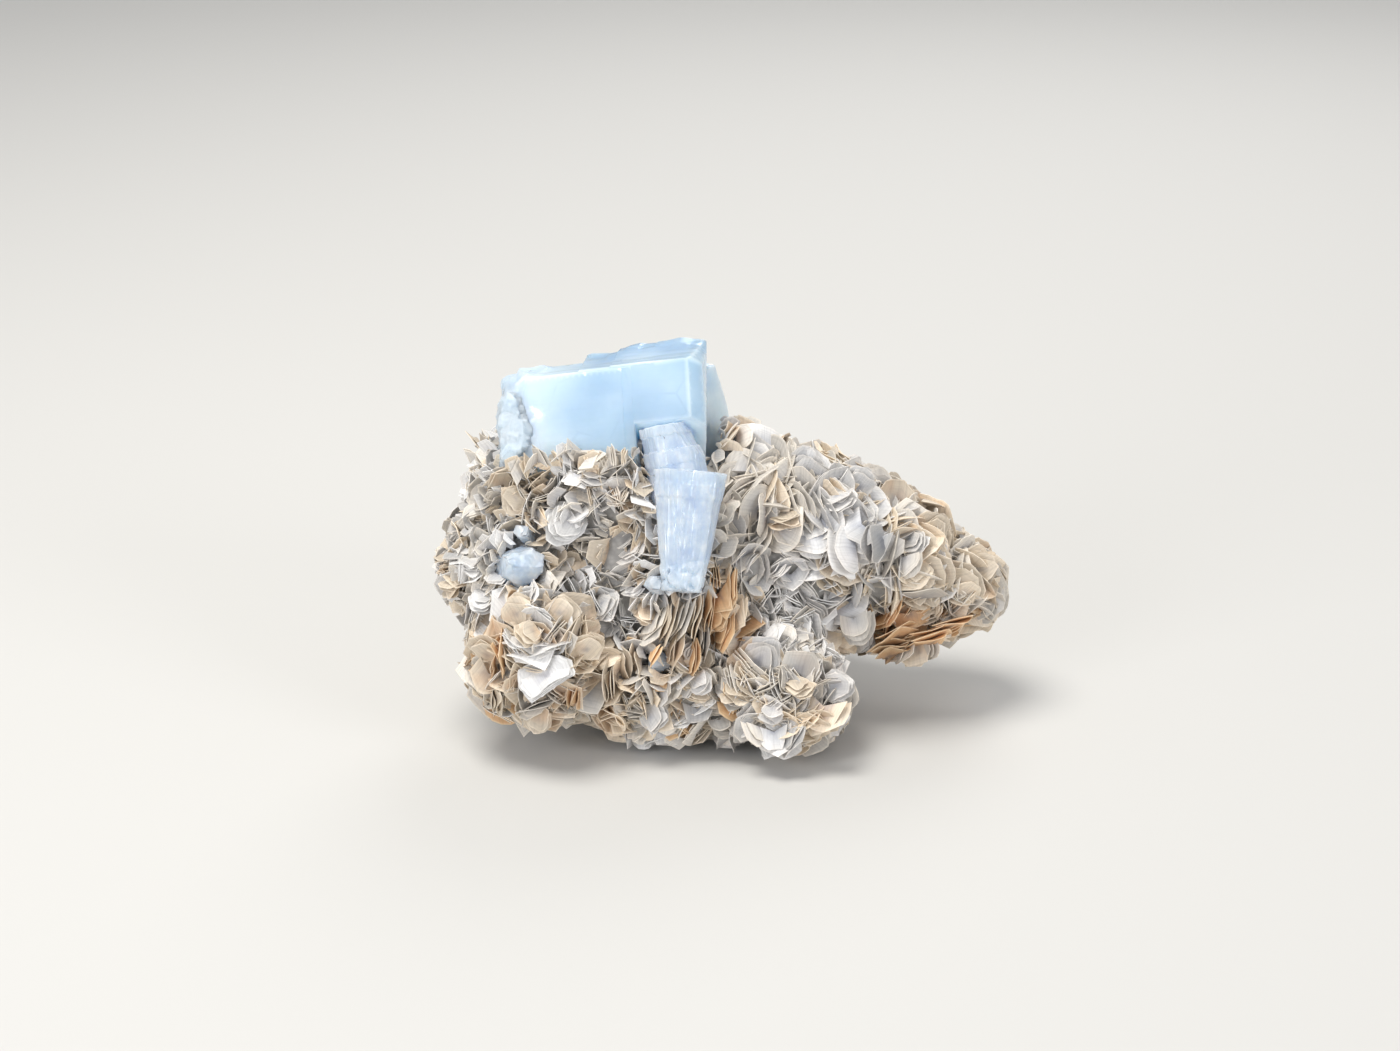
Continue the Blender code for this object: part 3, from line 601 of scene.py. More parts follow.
def bundle(rng, root, out, face, radius, kind, shade, cup, bend, most, zone, steady=False):
    # a few leaves of one book, each thickest in its middle, parted along their rims
    swing = math.radians(rng.gauss(0, leafBundle["swing"] * (leafBundle["steadySwing"] if steady else 1)))
    out = turned(out, np.cross(face, out), swing)
    width = leafBundle["steadyWidth"] if steady else rng.uniform(*leafBundle["width"])
    shade = clamp(shade + rng.gauss(0, leafBundle["shadeSpread"]))
    leaves, place = [], 0.0
    sides = rng.randint(*zone["sides"])
    for _ in range(most):
        thick = rng.uniform(*zone["lens"]) * radius / 6
        place += thick / 2
        leaves.append({"root": root + face * place, "out": out, "face": face, "radius": radius,
                       "width": width, "cup": cup, "bend": bend, "thick": thick,
                       "broken": zone["broken"], "bow": zone["bow"], "wave": zone["wave"], "sides": sides,
                       "kind": kind, "shade": clamp(shade + rng.gauss(0, leafBundle["leafShade"])),
                       "seed": rng.uniform(0, 500)})
        place += thick / 2 + rng.uniform(*leafBundle["part"])
        radius = radius * (1 - rng.uniform(*leafBundle["step"]))
        cup += rng.gauss(0, leafBundle["cupStep"])
    return leaves


def leafProbe(leaf):
    # nine points spread over the leaf
    side = np.cross(leaf["face"], leaf["out"])
    spots = [(0, 0), (0, 1), (0.75, 0.65), (-0.75, 0.65), (1, 0), (-1, 0), (0.4, 0.9), (-0.4, 0.9), (0, 0.5)]
    return [leaf["root"] + leaf["radius"] * (a * leaf["width"] * side + b * leaf["out"]
            + (leaf["cup"] * a * a + leaf["bend"] * b * b) / 2 * leaf["face"]) for a, b in spots]


def growClump(rng, kind, spot, normal, zone, radius, count, mica, stand=clumpShape["proud"]):
    shape = clumpKinds[kind]
    first = np.array(Vector(normal).orthogonal().normalized())
    second = np.cross(normal, first)
    start = rng.uniform(0, 2 * math.pi)
    axis = turned(first, second, start)
    shade = rng.uniform(*clumpShape["shade"])
    cup = rng.gauss(0, shape["cup"])
    bundles = []
    for number in range(count):
        size = radius * rng.uniform(*clumpShape["size"])
        proud = rng.uniform(*stand)
        bend = rng.gauss(0, clumpShape["bend"])
        if kind in ("fan", "shingle"):
            # leaves in a row
            part = number / (count - 1) * 2 - 1
            lean = part * math.radians(rng.uniform(*shape["spread"])) if kind == "fan" \
                else math.radians(rng.uniform(*shape["lean"]))
            out, face = turned(normal, axis, lean), turned(axis, -normal, lean)
            root = spot + axis * part * count * rng.uniform(*shape["space"]) / 2
            own = cup
        else:
            # leaves all round the middle
            share = math.sqrt((number + 0.5) / count)
            leanShare = rng.random() if kind == "chaos" else share ** clumpShape["leanCurve"]
            turn = start + number * clumpShape["turn"] + rng.gauss(0, clumpShape["turnSpread"])
            ray = turned(first, second, turn)
            low, high = shape["lean"]
            lean = low + (high - low) * leanShare + rng.gauss(0, clumpShape["leanSpread"])
            lean = math.radians(lean * zone["upright"])
            twist = math.radians(shape["twist"] + rng.gauss(0, shape["spread"]))
            out, face = turned(normal, ray, lean), turned(ray, -normal, lean)
            face = turned(face, np.cross(out, face), twist)
            root = spot + ray * radius * share * clumpShape["starRoot" if kind == "star" else "root"]
            own = shape["cup"] * rng.uniform(*clumpShape["cupRange"])
            own *= 1 if kind in ("rose", "cups") else rng.choice((-1, 1))
        root = root + normal * (proud - size * math.cos(lean))
        own = own + rng.gauss(0, clumpShape["cupSpread"])
        sort = mica if rng.random() < clumpShape["ownMica"] else pick(rng, zone["kinds"])
        leaves = bundle(rng, root, out, face, size, sort, shade, own, bend, rng.randint(*zone["bundle"]), zone)
        drop = proud - max(above(wholeSkin, point) for point in leafProbe(leaves[0]))
        for leaf in leaves:
            leaf["root"] = leaf["root"] + normal * clamp(drop, *clumpShape["drop"])
            leaf["proud"] = proud
        bundles.append(leaves)
    return bundles


def fitBundle(leaves):
    lead = leaves[0]
    for _ in range(fitting["tries"]):
        probe = leafProbe(lead)
        if min(point[2] for point in probe) < fitting["lowest"]:
            return []
        far = np.linalg.norm(lead["root"] - keepMiddle) > keepSpan + lead["radius"]
        if far or min(above(keepOut, point) for point in probe) > -fitting["into"]:
            return leaves
        for leaf in leaves:
            leaf["radius"] *= fitting["shrink"]
            leaf["root"] = leaf["root"] + leaf["out"] * leaf["radius"] * fitting["follow"]
    return []


# Each further leaf of a book is smaller, and is cut and sunk more than the one before. cover is how far the
# leaves round the foot of a book stand out.
plateName = "mica_book_30"
bookShape = {"leaves": 4, "pitch": 0.5, "thick": (0.2, 0.5), "steps": 24, "plateSteps": 48, "rings": 3,
             "sides": (3, 5), "sideShift": 0.25, "cut": (0.5, 0.95), "splay": 5.0, "sunk": 0.22, "shift": 0.12,
             "smaller": 0.06, "more": 0.05, "wave": 0.14, "cup": (-0.35, 0.25), "bend": (-0.1, 0.2),
             "shade": (0.3, 0.65), "plateShade": 0.5, "leafShade": 0.08,
             "cover": (0.0, 3.4), "coverLeaves": 6, "coverRoot": 0.6}
# the bleached plate low on the left has an outline of its own: across and up as seen, from its middle
plateOutline = [(0.5, 5.6), (4.2, 5.6), (8.3, 3.2), (8.3, 2.0), (-0.5, -3.9), (-3.7, -5.9), (-6.1, -4.7),
                (-8.6, -1.0), (-8.6, 1.0)]


def bookFrame(name):
    # middle, flat, growth direction and reach of a book, from its solid
    points, solid = meshArrays(nodes[name])[0], treeOf(nodes[name])
    middle = points.mean(axis=0)
    face = np.linalg.svd(points - middle)[2][2]
    normal = skinNormal(middle)
    face = face if np.dot(face, normal) > 0 else -face
    out = normal - face * np.dot(normal, face)
    out = unit(out if np.linalg.norm(out) > 0.15 else np.array([0, 0, 1.0]) - face * face[2])
    side = np.cross(face, out)
    turns = np.linspace(-math.pi, math.pi, bookShape["plateSteps" if name == plateName else "steps"] + 1)[:-1]
    outline = np.array([solid.ray_cast(Vector(middle), Vector(turned(out, side, turn)))[3] or 1
                        for turn in turns])
    return middle, face, out, turns, outline


def plateReach(face, out, turns):
    # how far the outline reaches in each direction of the plate's own flat
    side = np.cross(face, out)
    reach = []
    for turn in turns:
        ray = turned(out, side, turn)
        seen = np.array([ray[0], np.dot(ray, sightUp)])
        best = 1.0
        for first, second in zip(plateOutline, plateOutline[1:] + plateOutline[:1]):
            edge = np.subtract(second, first)
            cross = seen[0] * edge[1] - seen[1] * edge[0]
            if abs(cross) > 1e-6:
                far = (first[0] * edge[1] - first[1] * edge[0]) / cross
                part = (first[0] * seen[1] - first[1] * seen[0]) / cross
                if far > 0 and 0 <= part <= 1:
                    best = far
        reach.append(best)
    return np.array(reach)


def keepFitted(zoneName, bundles):
    for leaves in bundles:
        grown[zoneName] += fitBundle(leaves)


rng = random.Random(seeds["growth"])
grown = {name: [] for name in zones}
sightUp, eyeWard = np.array(shot["sightUp"]), unit(np.array(shot["eye"]) - np.array(shot["target"]))
bookFrames = {name: bookFrame(name) for name in bookNames}
clumps = []
for across, up, *clump in markedClumps:
    spot = seenAt(across, up)
    clumps.append((spot, zoneOf(spot), *clump))
taken = np.array([[*clump[0], clump[3] * clumpShape["markedGap"]] for clump in clumps])
for spot, zoneName in growthPoints(seeds["clumps"], taken, openArea):
    zone = zones[zoneName]
    kind = pick(rng, zone["clumps"])
    clumps.append((spot, zoneName, kind, rng.uniform(*zone["radius"]),
                   rng.randint(*clumpKinds[kind]["leaves"]), pick(rng, zone["kinds"])))
for spot, zoneName, kind, *clump in clumps:
    keepFitted(zoneName, growClump(rng, kind, spot, skinNormal(spot), zones[zoneName], *clump))

# a row of leaves along the foot of the big crystal
footRow = {"from": -55.0, "to": -16.0, "step": 1.3, "low": (-0.4, 1.8), "way": 30, "forward": (0.25, 0.8),
           "flat": (15, 88), "radius": (3.8, 6.4), "kinds": {"buff": 4, "olive": 4, "silver": 2, "white": 1}}
for across in np.arange(footRow["from"], footRow["to"], footRow["step"]):
    up = footUp(across)
    markedLeaves.append((across, up - rng.uniform(*footRow["low"]), rng.gauss(0, footRow["way"]),
                         rng.uniform(*footRow["forward"]), rng.uniform(*footRow["flat"]) * rng.choice((-1, 1)),
                         rng.uniform(*footRow["radius"]), rng.randint(1, 3), pick(rng, footRow["kinds"])))
markedLook = {"shade": (0.5, 0.9), "cup": (-0.3, 0.1), "bend": 0.1, "proud": 1.0, "forward": (0, 1.2, 2.4, 3.6),
              "keep": 0.75}
for across, up, way, forward, flat, radius, count, mica in markedLeaves:
    spot = seenAt(across, up)
    zoneName = zoneOf(spot)
    out = unit(turned(sightUp, np.array((1.0, 0, 0)), math.radians(way)) + forward * eyeWard)
    face = unit(eyeWard - out * np.dot(eyeWard, out))
    face = turned(face, np.cross(out, face), math.radians(flat))
    leaves = bundle(rng, spot, out, face, radius, mica, rng.uniform(*markedLook["shade"]),
                    rng.uniform(*markedLook["cup"]), markedLook["bend"], count, zones[zoneName], True)
    # it is moved forward until it keeps most of its size clear of the crystals
    for step in markedLook["forward"]:
        fitted = fitBundle([{**leaf, "proud": markedLook["proud"], "root": leaf["root"] + eyeWard * step}
                            for leaf in leaves])
        if fitted and fitted[0]["radius"] > markedLook["keep"] * radius:
            break
    grown[zoneName] += fitted

# more leaves crowd round the foot of each book and partly cover it
for name, (middle, face, out, turns, outline) in bookFrames.items():
    if name != plateName:
        zone = zones[zoneOf(middle)]
        spot = middle - out * outline.max() * bookShape["coverRoot"]
        keepFitted(zoneOf(middle), growClump(
            rng, "chaos", spot, skinNormal(middle), zone, sum(zone["radius"]) / 2, bookShape["coverLeaves"],
            pick(rng, zone["kinds"]), bookShape["cover"]))

# small leaves crowd round the foot of each crystal and lean away from it
collar = {"reach": 5.0, "gap": 2.2, "radius": (2.8, 4.8), "away": 0.7, "stray": 0.25, "root": 0.35,
          "shade": (0.4, 0.9), "cup": 0.15, "bend": 0.1, "proud": 1.0}
nearCrystal = np.array([keepOut.find_nearest(Vector(point))[3] < collar["reach"] for point in openCentre])
nothingTaken = np.array([[0, 0, -99, 0]])
for spot, zoneName in growthPoints(seeds["collar"], nothingTaken, openArea * nearCrystal, collar["gap"]):
    zone = zones[zoneName]
    away = unit(spot - np.array(keepOut.find_nearest(Vector(spot))[0]))
    stray = [rng.gauss(0, collar["stray"]) for _ in range(3)]
    out = unit(skinNormal(spot, collar["reach"]) + away * collar["away"] + stray)
    face = unit(np.cross(out, [rng.gauss(0, 1) for _ in range(3)]))
    radius = rng.uniform(*collar["radius"])
    leaves = bundle(rng, spot - out * radius * collar["root"], out, face, radius, pick(rng, zone["kinds"]),
                    rng.uniform(*collar["shade"]), rng.gauss(0, collar["cup"]), collar["bend"], 1, zone)
    grown[zoneName] += fitBundle([{**leaf, "proud": collar["proud"]} for leaf in leaves])
print("clumps", len(clumps), "leaves", {name: len(found) for name, found in grown.items()})

# members of each piece, and the least radius of the leaves that get the finer mesh
leafPieces = {
    "micaLeavesTopLeft": (["topLeft", "left"], 5.2),
    "micaLeavesMiddle": (["leftMiddle", "rustSeam", "valley"], 5.4),
    "micaLeavesRosette": (["rosetteBall", "below"], 6.2),
    "micaLeavesFoot": (["foot", "rightUnder"], 5.0),
    "micaLeavesSaddle": (["saddle"], 5.5),
    "micaLeavesRight": (["rightLobe", "rightTip"], 6.0),
    "micaLeavesBack": (["back"], 99.0),
}
# segments and rings of a leaf, by its sides; leaves rooted deeper than deep get the coarse mesh
leafDetail = {"deep": -1.2, 3: ((12, 3), (9, 2)), 4: ((12, 3), (8, 2)), 6: ((18, 3), (12, 2))}
for number, (title, (members, fineFrom)) in enumerate(leafPieces.items()):
    leaves = [leaf for member in members for leaf in grown[member]]
    groups = []
    for sides in (3, 4, 6):
        for coarse in (0, 1):
            chosen = [leaf for leaf in leaves if leaf["sides"] == sides
                      and coarse == int(leaf["radius"] < fineFrom or leaf["proud"] < leafDetail["deep"])]
            seed = seeds["leaves"] + number * 10 + sides * 2 + coarse
            groups.append((chosen, *leafDetail[sides][coarse], sides, seed))
    mesh = leavesToMesh(title, groups)
    keepPiece(newObject(title, mesh, micaKinds.values()), "ground_mica")
    print(title, len(leaves), "leaves", len(mesh.polygons), "triangles")

# The ground under the leaves, a little inside the matrix.
groundShape = {"depth": 3.8, "voxel": 1.9}
ground = newObject("micaGround", nodes["mica_matrix"].data.copy())
ground.data.materials.clear()
ground.data.materials.append(crushedMica())
remesh(ground, groundShape["voxel"])
sink = ground.modifiers.new("sink", "DISPLACE")
sink.mid_level = 0
sink.strength = -groundShape["depth"] * mm
keepPiece(ground, "ground_mica", "mica_matrix")
print("ground laid")

# Books: packs of leaves inside the outline of each book's solid, with their rims parted.
for number, name in enumerate(bookNames):
    rng = random.Random(seeds["books"] + number)
    middle, face, out, turns, outline = bookFrames[name]
    isPlate = name == plateName
    if isPlate:
        outline = np.minimum(outline, plateReach(face, out, turns))
    side = np.cross(face, out)
    radius = outline.max()
    shade = bookShape["plateShade"] if isPlate else rng.uniform(*bookShape["shade"])
    sides = rng.randint(*bookShape["sides"])
    start = rng.uniform(0, 2 * math.pi)
    leaves = []
    for layer in range(bookShape["leaves"]):
        # each leaf is broken off along its own few straight sides
        broken = outline / radius * (1 - bookShape["smaller"] * layer)
        for part in range(0 if isPlate else sides):
            away = start + (part + rng.uniform(-1, 1) * bookShape["sideShift"]) * 2 * math.pi / sides
            depth = rng.uniform(*bookShape["cut"]) * (1 - bookShape["more"] * layer)
            broken = np.minimum(broken, depth / np.maximum(np.cos(turns - away), 0.2))
        offset = (layer - (bookShape["leaves"] - 1) / 2) * bookShape["pitch"]
        splay = math.radians(bookShape["splay"]) * (layer + rng.uniform(-0.5, 0.5))
        shift = radius * (side * rng.uniform(-1, 1) * bookShape["shift"]
                          - out * (bookShape["sunk"] + bookShape["more"] * layer))
        leaves.append({"root": middle + face * offset + (0 if isPlate else shift),
                       "out": turned(out, face, splay), "face": turned(face, -out, splay),
                       "radius": radius, "width": 1.0, "cup": rng.uniform(*bookShape["cup"]),
                       "bend": rng.uniform(*bookShape["bend"]), "thick": rng.uniform(*bookShape["thick"]),
                       "kind": slotOf[name].replace("_mica", ""),
                       "shade": shade + rng.uniform(-1, 1) * bookShape["leafShade"],
                       "wave": bookShape["wave"], "seed": rng.uniform(0, 500), "outline": broken})
    title = "book" + name[-2:]
    mesh = leavesToMesh(title, [(leaves, len(turns), bookShape["rings"], 0, seeds["bookLeaves"] + number)])
    keepPiece(newObject(title, mesh, micaKinds.values()), slotOf[name], name)
print("books", len(bookNames))

# Crystals. The six prism faces of a block are given by their distance from its long axis, in steps of 60
# degrees from roll; cuts are further faces as (normal, distance); place is (position, turns in degrees).
mainRoll = 35
mainTurns = (0, -8.2, -5.8)
mainBlock = {"roll": mainRoll, "taper": 0, "place": ((-1.2, 4.6, 74.7), mainTurns)}
frontBevel = (0.9, -math.cos(math.radians(mainRoll)), math.sin(math.radians(mainRoll)))
crystalBlocks = {
    "right": {**mainBlock, "faces": (19.0, 18.0, 14.6, 17.9, 18.0, 14.0), "span": (-22, 0),
              "cuts": ((frontBevel, 12.0), ((1, 0, 1), 11.6), ((1, 0.1, -0.15), -2.2))},
    "middle": {**mainBlock, "faces": (19.05, 17.7, 12.8, 17.0, 17.6, 20.0), "span": (-30, -16.6),
               "cuts": (((-0.5, 0.4, 1.0), 30.0),)},
    "left": {**mainBlock, "faces": (19.15, 17.4, 7.0, 16.0, 17.2, 20.4), "span": (-50, -19),
             "cuts": (((-0.62, -0.1, 0.78), 41.8), ((-1.0, -0.15, 0.2), 51.0))},
    "twin": {**mainBlock, "faces": (22.0, 18.4, 16.5, 13.3, 17.0, 12.0), "span": (-30, 2.2),
             "place": ((-1.2, 8.6, 66.7), mainTurns), "cuts": (((1, -0.35, -0.1), -3.4),)},
    "upperPale": {"faces": (6.0, 5.6, 7.0, 6.4, 6.5, 6.5), "span": (-9.9, 10), "roll": 0, "taper": 0,
                  "place": ((-10.9, -16.6, 70.0), (0, 67.1, -60.4)), "cuts": (((-0.436, 0.612, 0.771), 7.0),)},
    "lowerPale": {"faces": (5.5, 8.0, 8.0, 8.0, 8.0, 7.5), "span": (0.4, 29), "roll": 105, "taper": 7,
                  "place": ((-7.2, -21.5, 70.6), (0, 67.2, -100.8)), "cuts": ()},
}
paleNames = ("upperPale", "lowerPale")
# blank is a cube larger than any block, and edge and paleEdge are the longest edges of the finished mesh
crystalShape = {"blank": 400, "bevel": 0.35, "edge": 1.45, "paleEdge": 0.65, "passes": 8, "sharp": 24}
# milkiness: added along edges as a painted highlight, with the width of that band; of faces that look down, as
# painted light in their shade; added in the twin, as painted light in its shade; and of the pale crystals
milkAndPaintedLight = {"edge": 0.3, "edgeWidth": 0.4, "under": 0.7, "twin": 0.5, "pale": 0.55}
# how much the broken crest stands above the flat top: distance along the axis, height
crest = [(-50, 0.0), (-44, 0.5), (-36, 0.9), (-27, 0.9), (-20, 0.9), (-13, 1.5), (-7, 1.5), (-2, 0.6), (0, 0.0)]


def cutOff(shape, point, normal):
    # takes away what lies past a plane and closes the cut
    found = bmesh.ops.bisect_plane(shape, geom=shape.verts[:] + shape.edges[:] + shape.faces[:],
                                   plane_co=point, plane_no=normal, clear_outer=True)["geom_cut"]
    rim = [item for item in found if isinstance(item, bmesh.types.BMEdge)]
    if rim:
        bmesh.ops.contextual_create(shape, geom=rim)


def easeEdges(shape, offset, segments):
    bmesh.ops.bevel(shape, geom=shape.edges[:], offset=offset, segments=segments, affect="EDGES",
                    clamp_overlap=True)


def toMesh(shape, mesh):
    shape.to_mesh(mesh)
    shape.free()


def blockMatrix(block):
    place, turns = block["place"]
    return Matrix.LocRotScale(Vector(place), Euler([math.radians(turn) for turn in turns]), None)


def planesOf(block):
    low, high = block["span"]
    planes = [((-1, 0, 0), -low), ((1, 0, 0), high)]
    for step, distance in enumerate(block["faces"]):
        angle = math.radians(block["roll"] + 60 * step)
        planes.append(((math.tan(math.radians(block["taper"])), -math.cos(angle), math.sin(angle)), distance))
    return [(Vector(normal).normalized(), distance) for normal, distance in planes + list(block["cuts"])]


def blockObject(name, block):
    shape = bmesh.new()
    bmesh.ops.create_cube(shape, size=crystalShape["blank"])
    for normal, distance in planesOf(block):
        cutOff(shape, normal * distance, normal)
    bmesh.ops.recalc_face_normals(shape, faces=shape.faces)
    easeEdges(shape, crystalShape["bevel"], 1)
    bmesh.ops.transform(shape, matrix=Matrix.Scale(mm, 4) @ blockMatrix(block), verts=shape.verts)
    mesh = bpy.data.meshes.new(name)
    toMesh(shape, mesh)
    return newObject(name, mesh)


def fusedBlocks(blocks):
    # one closed mesh of all the blocks, grown together
    parts = [blockObject(name, block) for name, block in blocks.items()]
    for other in parts[1:]:
        union = parts[0].modifiers.new(other.name, "BOOLEAN")
        union.operation = "UNION"
        union.object = other
    mesh = appliedMesh(parts[0])
    for part in parts:
        bpy.data.objects.remove(part, do_unlink=True)
    return mesh


def fineShape(mesh, edgeAt, passes):
    # edgeAt gives the longest edge wanted at a point
    shape = bmesh.new()
    shape.from_mesh(mesh)
    bmesh.ops.triangulate(shape, faces=shape.faces[:])
    for _ in range(passes):
        long = [item for item in shape.edges if item.calc_length() > edgeAt(
            (item.verts[0].co + item.verts[1].co) / 2 / mm) * mm]
        if not long:
            break
        bmesh.ops.subdivide_edges(shape, edges=long, cuts=1)
        bmesh.ops.triangulate(shape, faces=[face for face in shape.faces if len(face.verts) > 3])
    shape.normal_update()
    return shape


def tagBeryl(shape, look):
    # look gives paleness, milkiness, frost and ribbing for a vertex, and its move
    tags = [shape.verts.layers.float.new(title) for title in berylTags]
    tags.append(shape.verts.layers.float_vector.new("ribbing"))
    moves = []
    for vert in shape.verts:
        *values, move = look(vert)
        for tag, value in zip(tags, values):
            vert[tag] = value
        moves.append(move)
    for vert, move in zip(shape.verts, moves):
        vert.co += move


def smoothStep(low, high, value):
    part = clamp((value - low) / (high - low))
    return part * part * (3 - 2 * part)


def swell(point, size, seed):
    # soft rise and fall, size millimetres from one to the next
    return noise.noise(Vector(point) / size + Vector((seed, seed, seed)))


def ragged(point, size, seed):
    # flat steps between -1 and 1, as a break leaves
    return noise.cell(Vector(point) / size + Vector((seed, seed, seed))) * 2 - 1


blockPlanes = {name: planesOf(block) for name, block in crystalBlocks.items()}
blockInverse = {name: blockMatrix(block).inverted() for name, block in crystalBlocks.items()}


def ownerOf(point):
    # the block whose skin the point lies on, and the point in that block's own axes
    best = None
    for name, planes in blockPlanes.items():
        local = blockInverse[name] @ point
        depth = abs(max(normal.dot(local) - distance for normal, distance in planes))
        if best is None or depth < best[0]:
            best = (depth, name, local)
    return best[1:]


def mainRelief(local):
    # move in millimetres along the normal, lift of the crest, milkiness with painted shade on the top side, and
    # frost of the blue crystal
    brokenEnd = smoothStep(-39.0, -46.0, local.x + 5.0 * swell(local, 6.0, 3))
    bumps = 0.9 + 1.1 * swell(local, 3.2, 9) + 0.6 * swell(local, 1.5, 4)
    growth = 0.10 * swell((local.x * 0.25, local.y, local.z), 1.6, 1) + 0.08 * swell(local, 9.0, 2)
    topSide = smoothStep(9.0, 16.5, local.z) * smoothStep(-4.0, 9.0, local.y)
    height = float(np.interp(local.x, *zip(*crest))) + 0.6 * swell(local, 5.5, 5) + 0.12 * ragged(local, 4.1, 6)
    # painted shade: the top side is made less milky, so it shows a darker blue
    milkyAndPaintedLight = 0.25 + 0.60 * smoothStep(-24.0, -46.0, local.x) + 0.25 * swell(local, 11.0, 8) - 0.45 * topSide
    frost = max(brokenEnd, 0.2 * topSide)
    return brokenEnd * bumps + (1 - brokenEnd) * growth, topSide * height, milkyAndPaintedLight, frost


def paleRelief(local, lower):
    # fine ribs run along the crystal, with growth bands across it and an etched, sugary end
    turn = math.atan2(local.z, local.y)
    ribs = 0.22 * noise.noise(Vector((turn * 5.0, local.x * 0.05, 1.0))) \
        + 0.12 * noise.noise(Vector((turn * 17.0, local.x * 0.08, 5.0)))
    etched = smoothStep(19.5, 27.0, local.x + 2.0 * swell(local, 4.0, 7)) if lower else 0.0
    band = 0.16 * ragged((local.x, 0, 0), 3.6, 2) + 0.12 * swell(local, 4.0, 9)
    pits = -0.9 * max(0.0, noise.noise(local / 1.6) - 0.12) * 2
    bumps = 0.4 * swell(local, 1.4, 3) + pits
    return ribs + band + etched * bumps, etched


def crystalLook(vert):
    # the younger crystals are pale all over; the blue ones turn milky in places, and carry painted light as
    # added milkiness on edges, on faces that look down and in the twin
    name, local = ownerOf(vert.co / mm)
    if name in paleNames:
        move, etched = paleRelief(local, name == "lowerPale")
        lift, milkyAndPaintedLight, frost, pale = 0.0, milkAndPaintedLight["pale"], 0.5 * etched, 1.0
    else:
        move, lift, milkyAndPaintedLight, frost = mainRelief(local)
        # painted highlight: the edges between the faces of the prism get added milkiness; painted light: the
        # faces that look down lie in shade and are made milky and light
        faces = blockPlanes[name][1 if name == "right" else 2:]
        edgeHighlightMask = sum(abs(normal.dot(local) - distance) < milkAndPaintedLight["edgeWidth"] for normal, distance in faces) > 1
        milkyAndPaintedLight = max(milkyAndPaintedLight + milkAndPaintedLight["edge"] * edgeHighlightMask, milkAndPaintedLight["under"] * smoothStep(0.1, -0.3, vert.normal.z))
        # painted light: the short crystal behind, which lies in shade, is made milky and light all through
        milkyAndPaintedLight += milkAndPaintedLight["twin"] * (name == "twin")
        pale = 0.0
    ribbing = (local.x * 0.05 + 30 * pale, local.y, local.z)
    return pale, clamp(milkyAndPaintedLight), frost, ribbing, vert.normal * move * mm + Vector((0, 0, lift * mm))


crystalMesh = fusedBlocks(crystalBlocks)
shape = fineShape(crystalMesh, lambda point: crystalShape[
    "paleEdge" if ownerOf(point)[0] in paleNames else "edge"], crystalShape["passes"])
tagBeryl(shape, crystalLook)
toMesh(shape, crystalMesh)
smoothFaces(crystalMesh, crystalShape["sharp"])
crystalMesh.name = "aquamarineGroup"
berylBlue = aquamarine("aquamarine", "#AED4FE", "#DFEFFE", "#D0DEF0", 0.40, 4.0)
crystalGroup = keepPiece(newObject("aquamarineGroup", crystalMesh, [berylBlue]), "blue_beryl",
                         "aquamarine_cluster")
crystalSkin = treeOf(crystalGroup)
print("crystals", len(crystalMesh.polygons), "triangles")

# Small crystals in the matrix: each solid with a few chips off it and its edges eased, and an etched skin.
smallShape = {"weld": 0.01, "flat": 1, "bevel": 0.3, "edge": 0.8, "passes": 5, "etch": 0.3, "chips": 9,
              "chipDepth": (0.52, 0.85), "look": (1.0, 0.5, 0.12), "ribScale": 0.4}


def smallLook(vert):
    point = vert.co / mm
    move = vert.normal * smallShape["etch"] * mm * (swell(point, 1.2, 2) + swell(point, 3, 6))
    return *smallShape["look"], point * smallShape["ribScale"], move


for name in smallNames:
    mesh = nodes[name].data.copy()
    shape = bmesh.new()
    shape.from_mesh(mesh)
    bmesh.ops.remove_doubles(shape, verts=shape.verts, dist=smallShape["weld"] * mm)
    bmesh.ops.dissolve_limit(shape, angle_limit=math.radians(smallShape["flat"]), verts=shape.verts[:],
                             edges=shape.edges[:])
    middle = sum((vert.co for vert in shape.verts), Vector()) / len(shape.verts)
    reach = max((vert.co - middle).length for vert in shape.verts)
    rng = random.Random(name)
    for _ in range(smallShape["chips"]):
        normal = Vector([rng.gauss(0, 1) for _ in range(3)]).normalized()
        cutOff(shape, middle + normal * reach * rng.uniform(*smallShape["chipDepth"]), normal)
    easeEdges(shape, smallShape["bevel"] * mm, 2)
    toMesh(shape, mesh)
    shape = fineShape(mesh, lambda point: smallShape["edge"], smallShape["passes"])
    tagBeryl(shape, smallLook)
    toMesh(shape, mesh)
    mesh.materials.clear()
    smoothFaces(mesh, crystalShape["sharp"])
    title = "paleCrystal" + name.replace("aquamarine_", "").title().replace("_", "")
    keepPiece(newObject(title, mesh, [berylBlue]), slotOf[name], name)

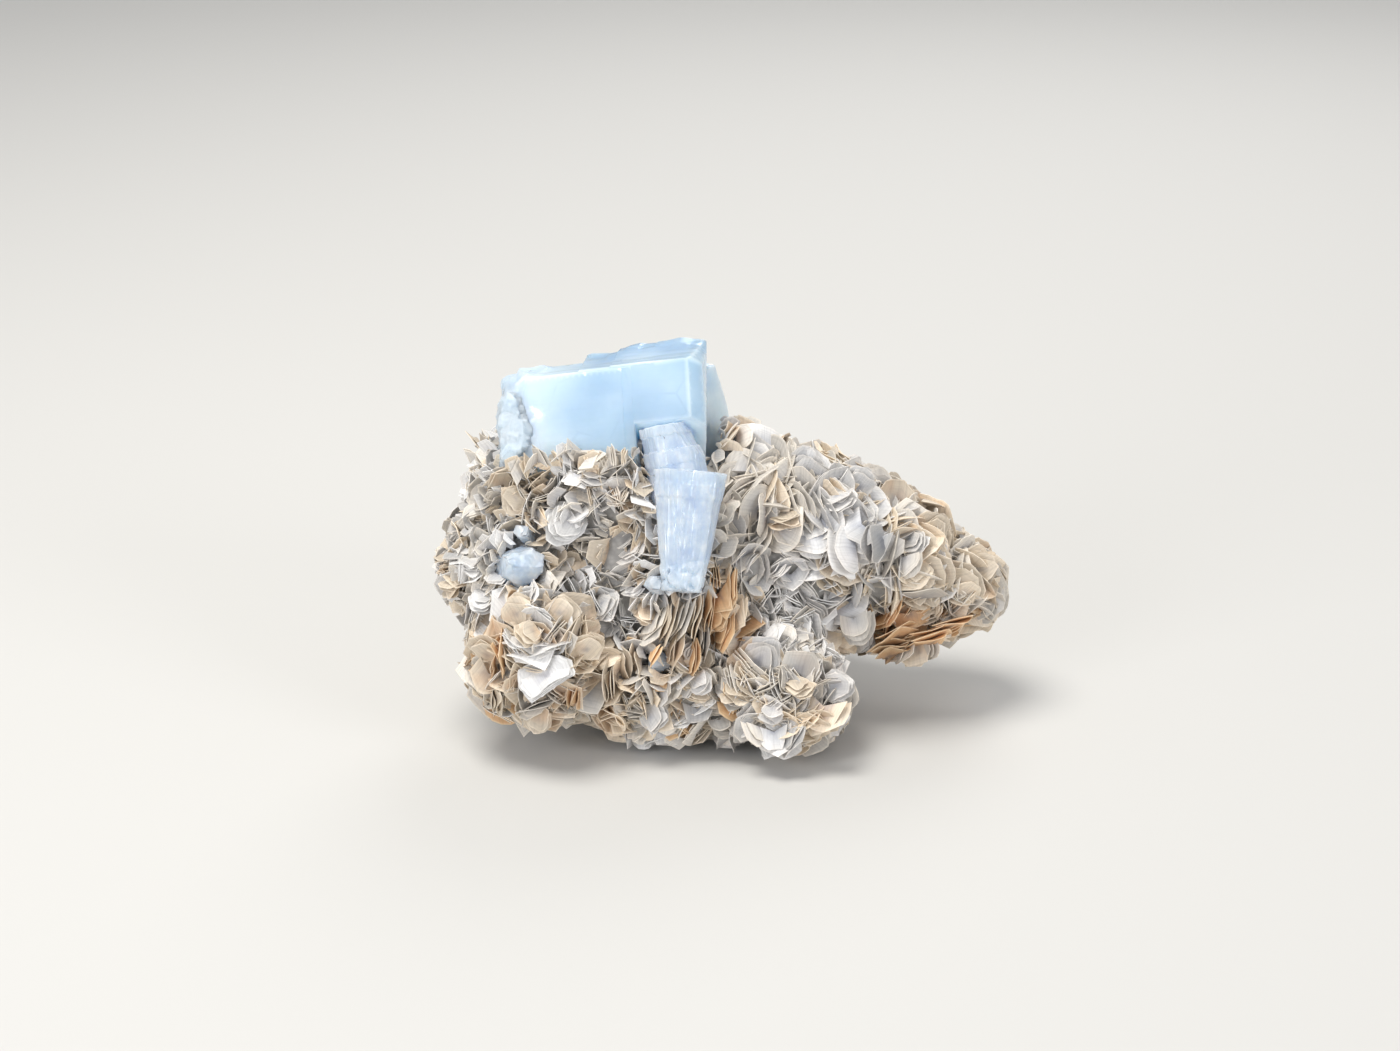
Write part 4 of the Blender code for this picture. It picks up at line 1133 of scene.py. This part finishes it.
# Albite crust: the solid remeshed finely, with grains standing out of it.
crustShape = {"voxel": 0.5, "soften": 4, "hug": 1.1, "thin": 1.3, "uneven": 1.4, "deepest": -1.0,
              "lump": 0.7, "grain": 0.45}
crust = newObject("albiteCrust", nodes["albite_crust"].data.copy())
remesh(crust, crustShape["voxel"])
soften = crust.modifiers.new("soften", "SMOOTH")
soften.iterations = crustShape["soften"]
mesh = appliedMesh(crust)
bpy.data.objects.remove(crust, do_unlink=True)
normals = [vert.normal.copy() for vert in mesh.vertices]
for vert, normal in zip(mesh.vertices, normals):
    point = vert.co / mm
    near, facing, _, distance = crystalSkin.find_nearest(point)
    if (point - near).dot(facing) > 0:
        # outside the crystal it hugs the face under it, and its ragged rim runs out into that face
        hug = crustShape["hug"]
        layer = distance - crustShape["thin"] * (1 + crustShape["uneven"] * swell(point, 3.2, 11))
        eased = hug * (1 - math.exp(-(layer / hug) ** 2 / 2))
        layer = eased if layer > 0 else max(layer, crustShape["deepest"])
        point = near + (point - near).normalized() * layer
    rough = crustShape["lump"] * swell(point, 3.6, 5) + crustShape["grain"] * swell(point, 1.0, 8)
    vert.co = (point + normal * rough) * mm
mesh.materials.clear()
smoothFaces(mesh)
keepPiece(newObject("albiteCrust", mesh, [sugaryAlbite()]), "albite", "albite_crust")
print("crust", len(mesh.polygons), "faces")

# Room, light and camera
floorFinish, add = newMaterial("paintedFloor")
add("OutputMaterial", Surface=add("BsdfPrincipled", Base_Color=room["floor"], Roughness=0.85))
half = room["floorSize"] / 2
floorMesh = bpy.data.meshes.new("floor")
floorMesh.from_pydata([(x * half, y * half, 0) for x, y in ((-1, -1), (1, -1), (1, 1), (-1, 1))], [],
                      [(0, 1, 2, 3)])
newObject("floor", floorMesh, [floorFinish])

world = bpy.data.worlds.new("studio")
world.use_nodes = True
background = world.node_tree.nodes["Background"]
background.inputs["Color"].default_value = linear(room["air"])
background.inputs["Strength"].default_value = room["airStrength"]
bpy.context.scene.world = world
for name, (place, size, power, colour) in room["lights"].items():
    light = bpy.data.lights.new(name + "Light", "AREA")
    light.shape = "DISK"
    light.size = size
    light.energy = power
    light.color = linear(colour)[:3]
    lamp = newObject(name + "Light", light)
    lamp.location = place
    lamp.rotation_euler = (Vector(room["aim"]) - Vector(place)).to_track_quat("-Z", "Y").to_euler()

lens = bpy.data.cameras.new("camera")
lens.lens = shot["lens"]
lens.sensor_width = shot["sensor"]
camera = newObject("camera", lens)
camera.location = Vector(shot["eye"]) * mm
camera.rotation_euler = (Vector(shot["target"]) - Vector(shot["eye"])).to_track_quat("-Z", "Y").to_euler()
bpy.context.scene.camera = camera
bpy.context.scene.view_settings.view_transform = "Standard"
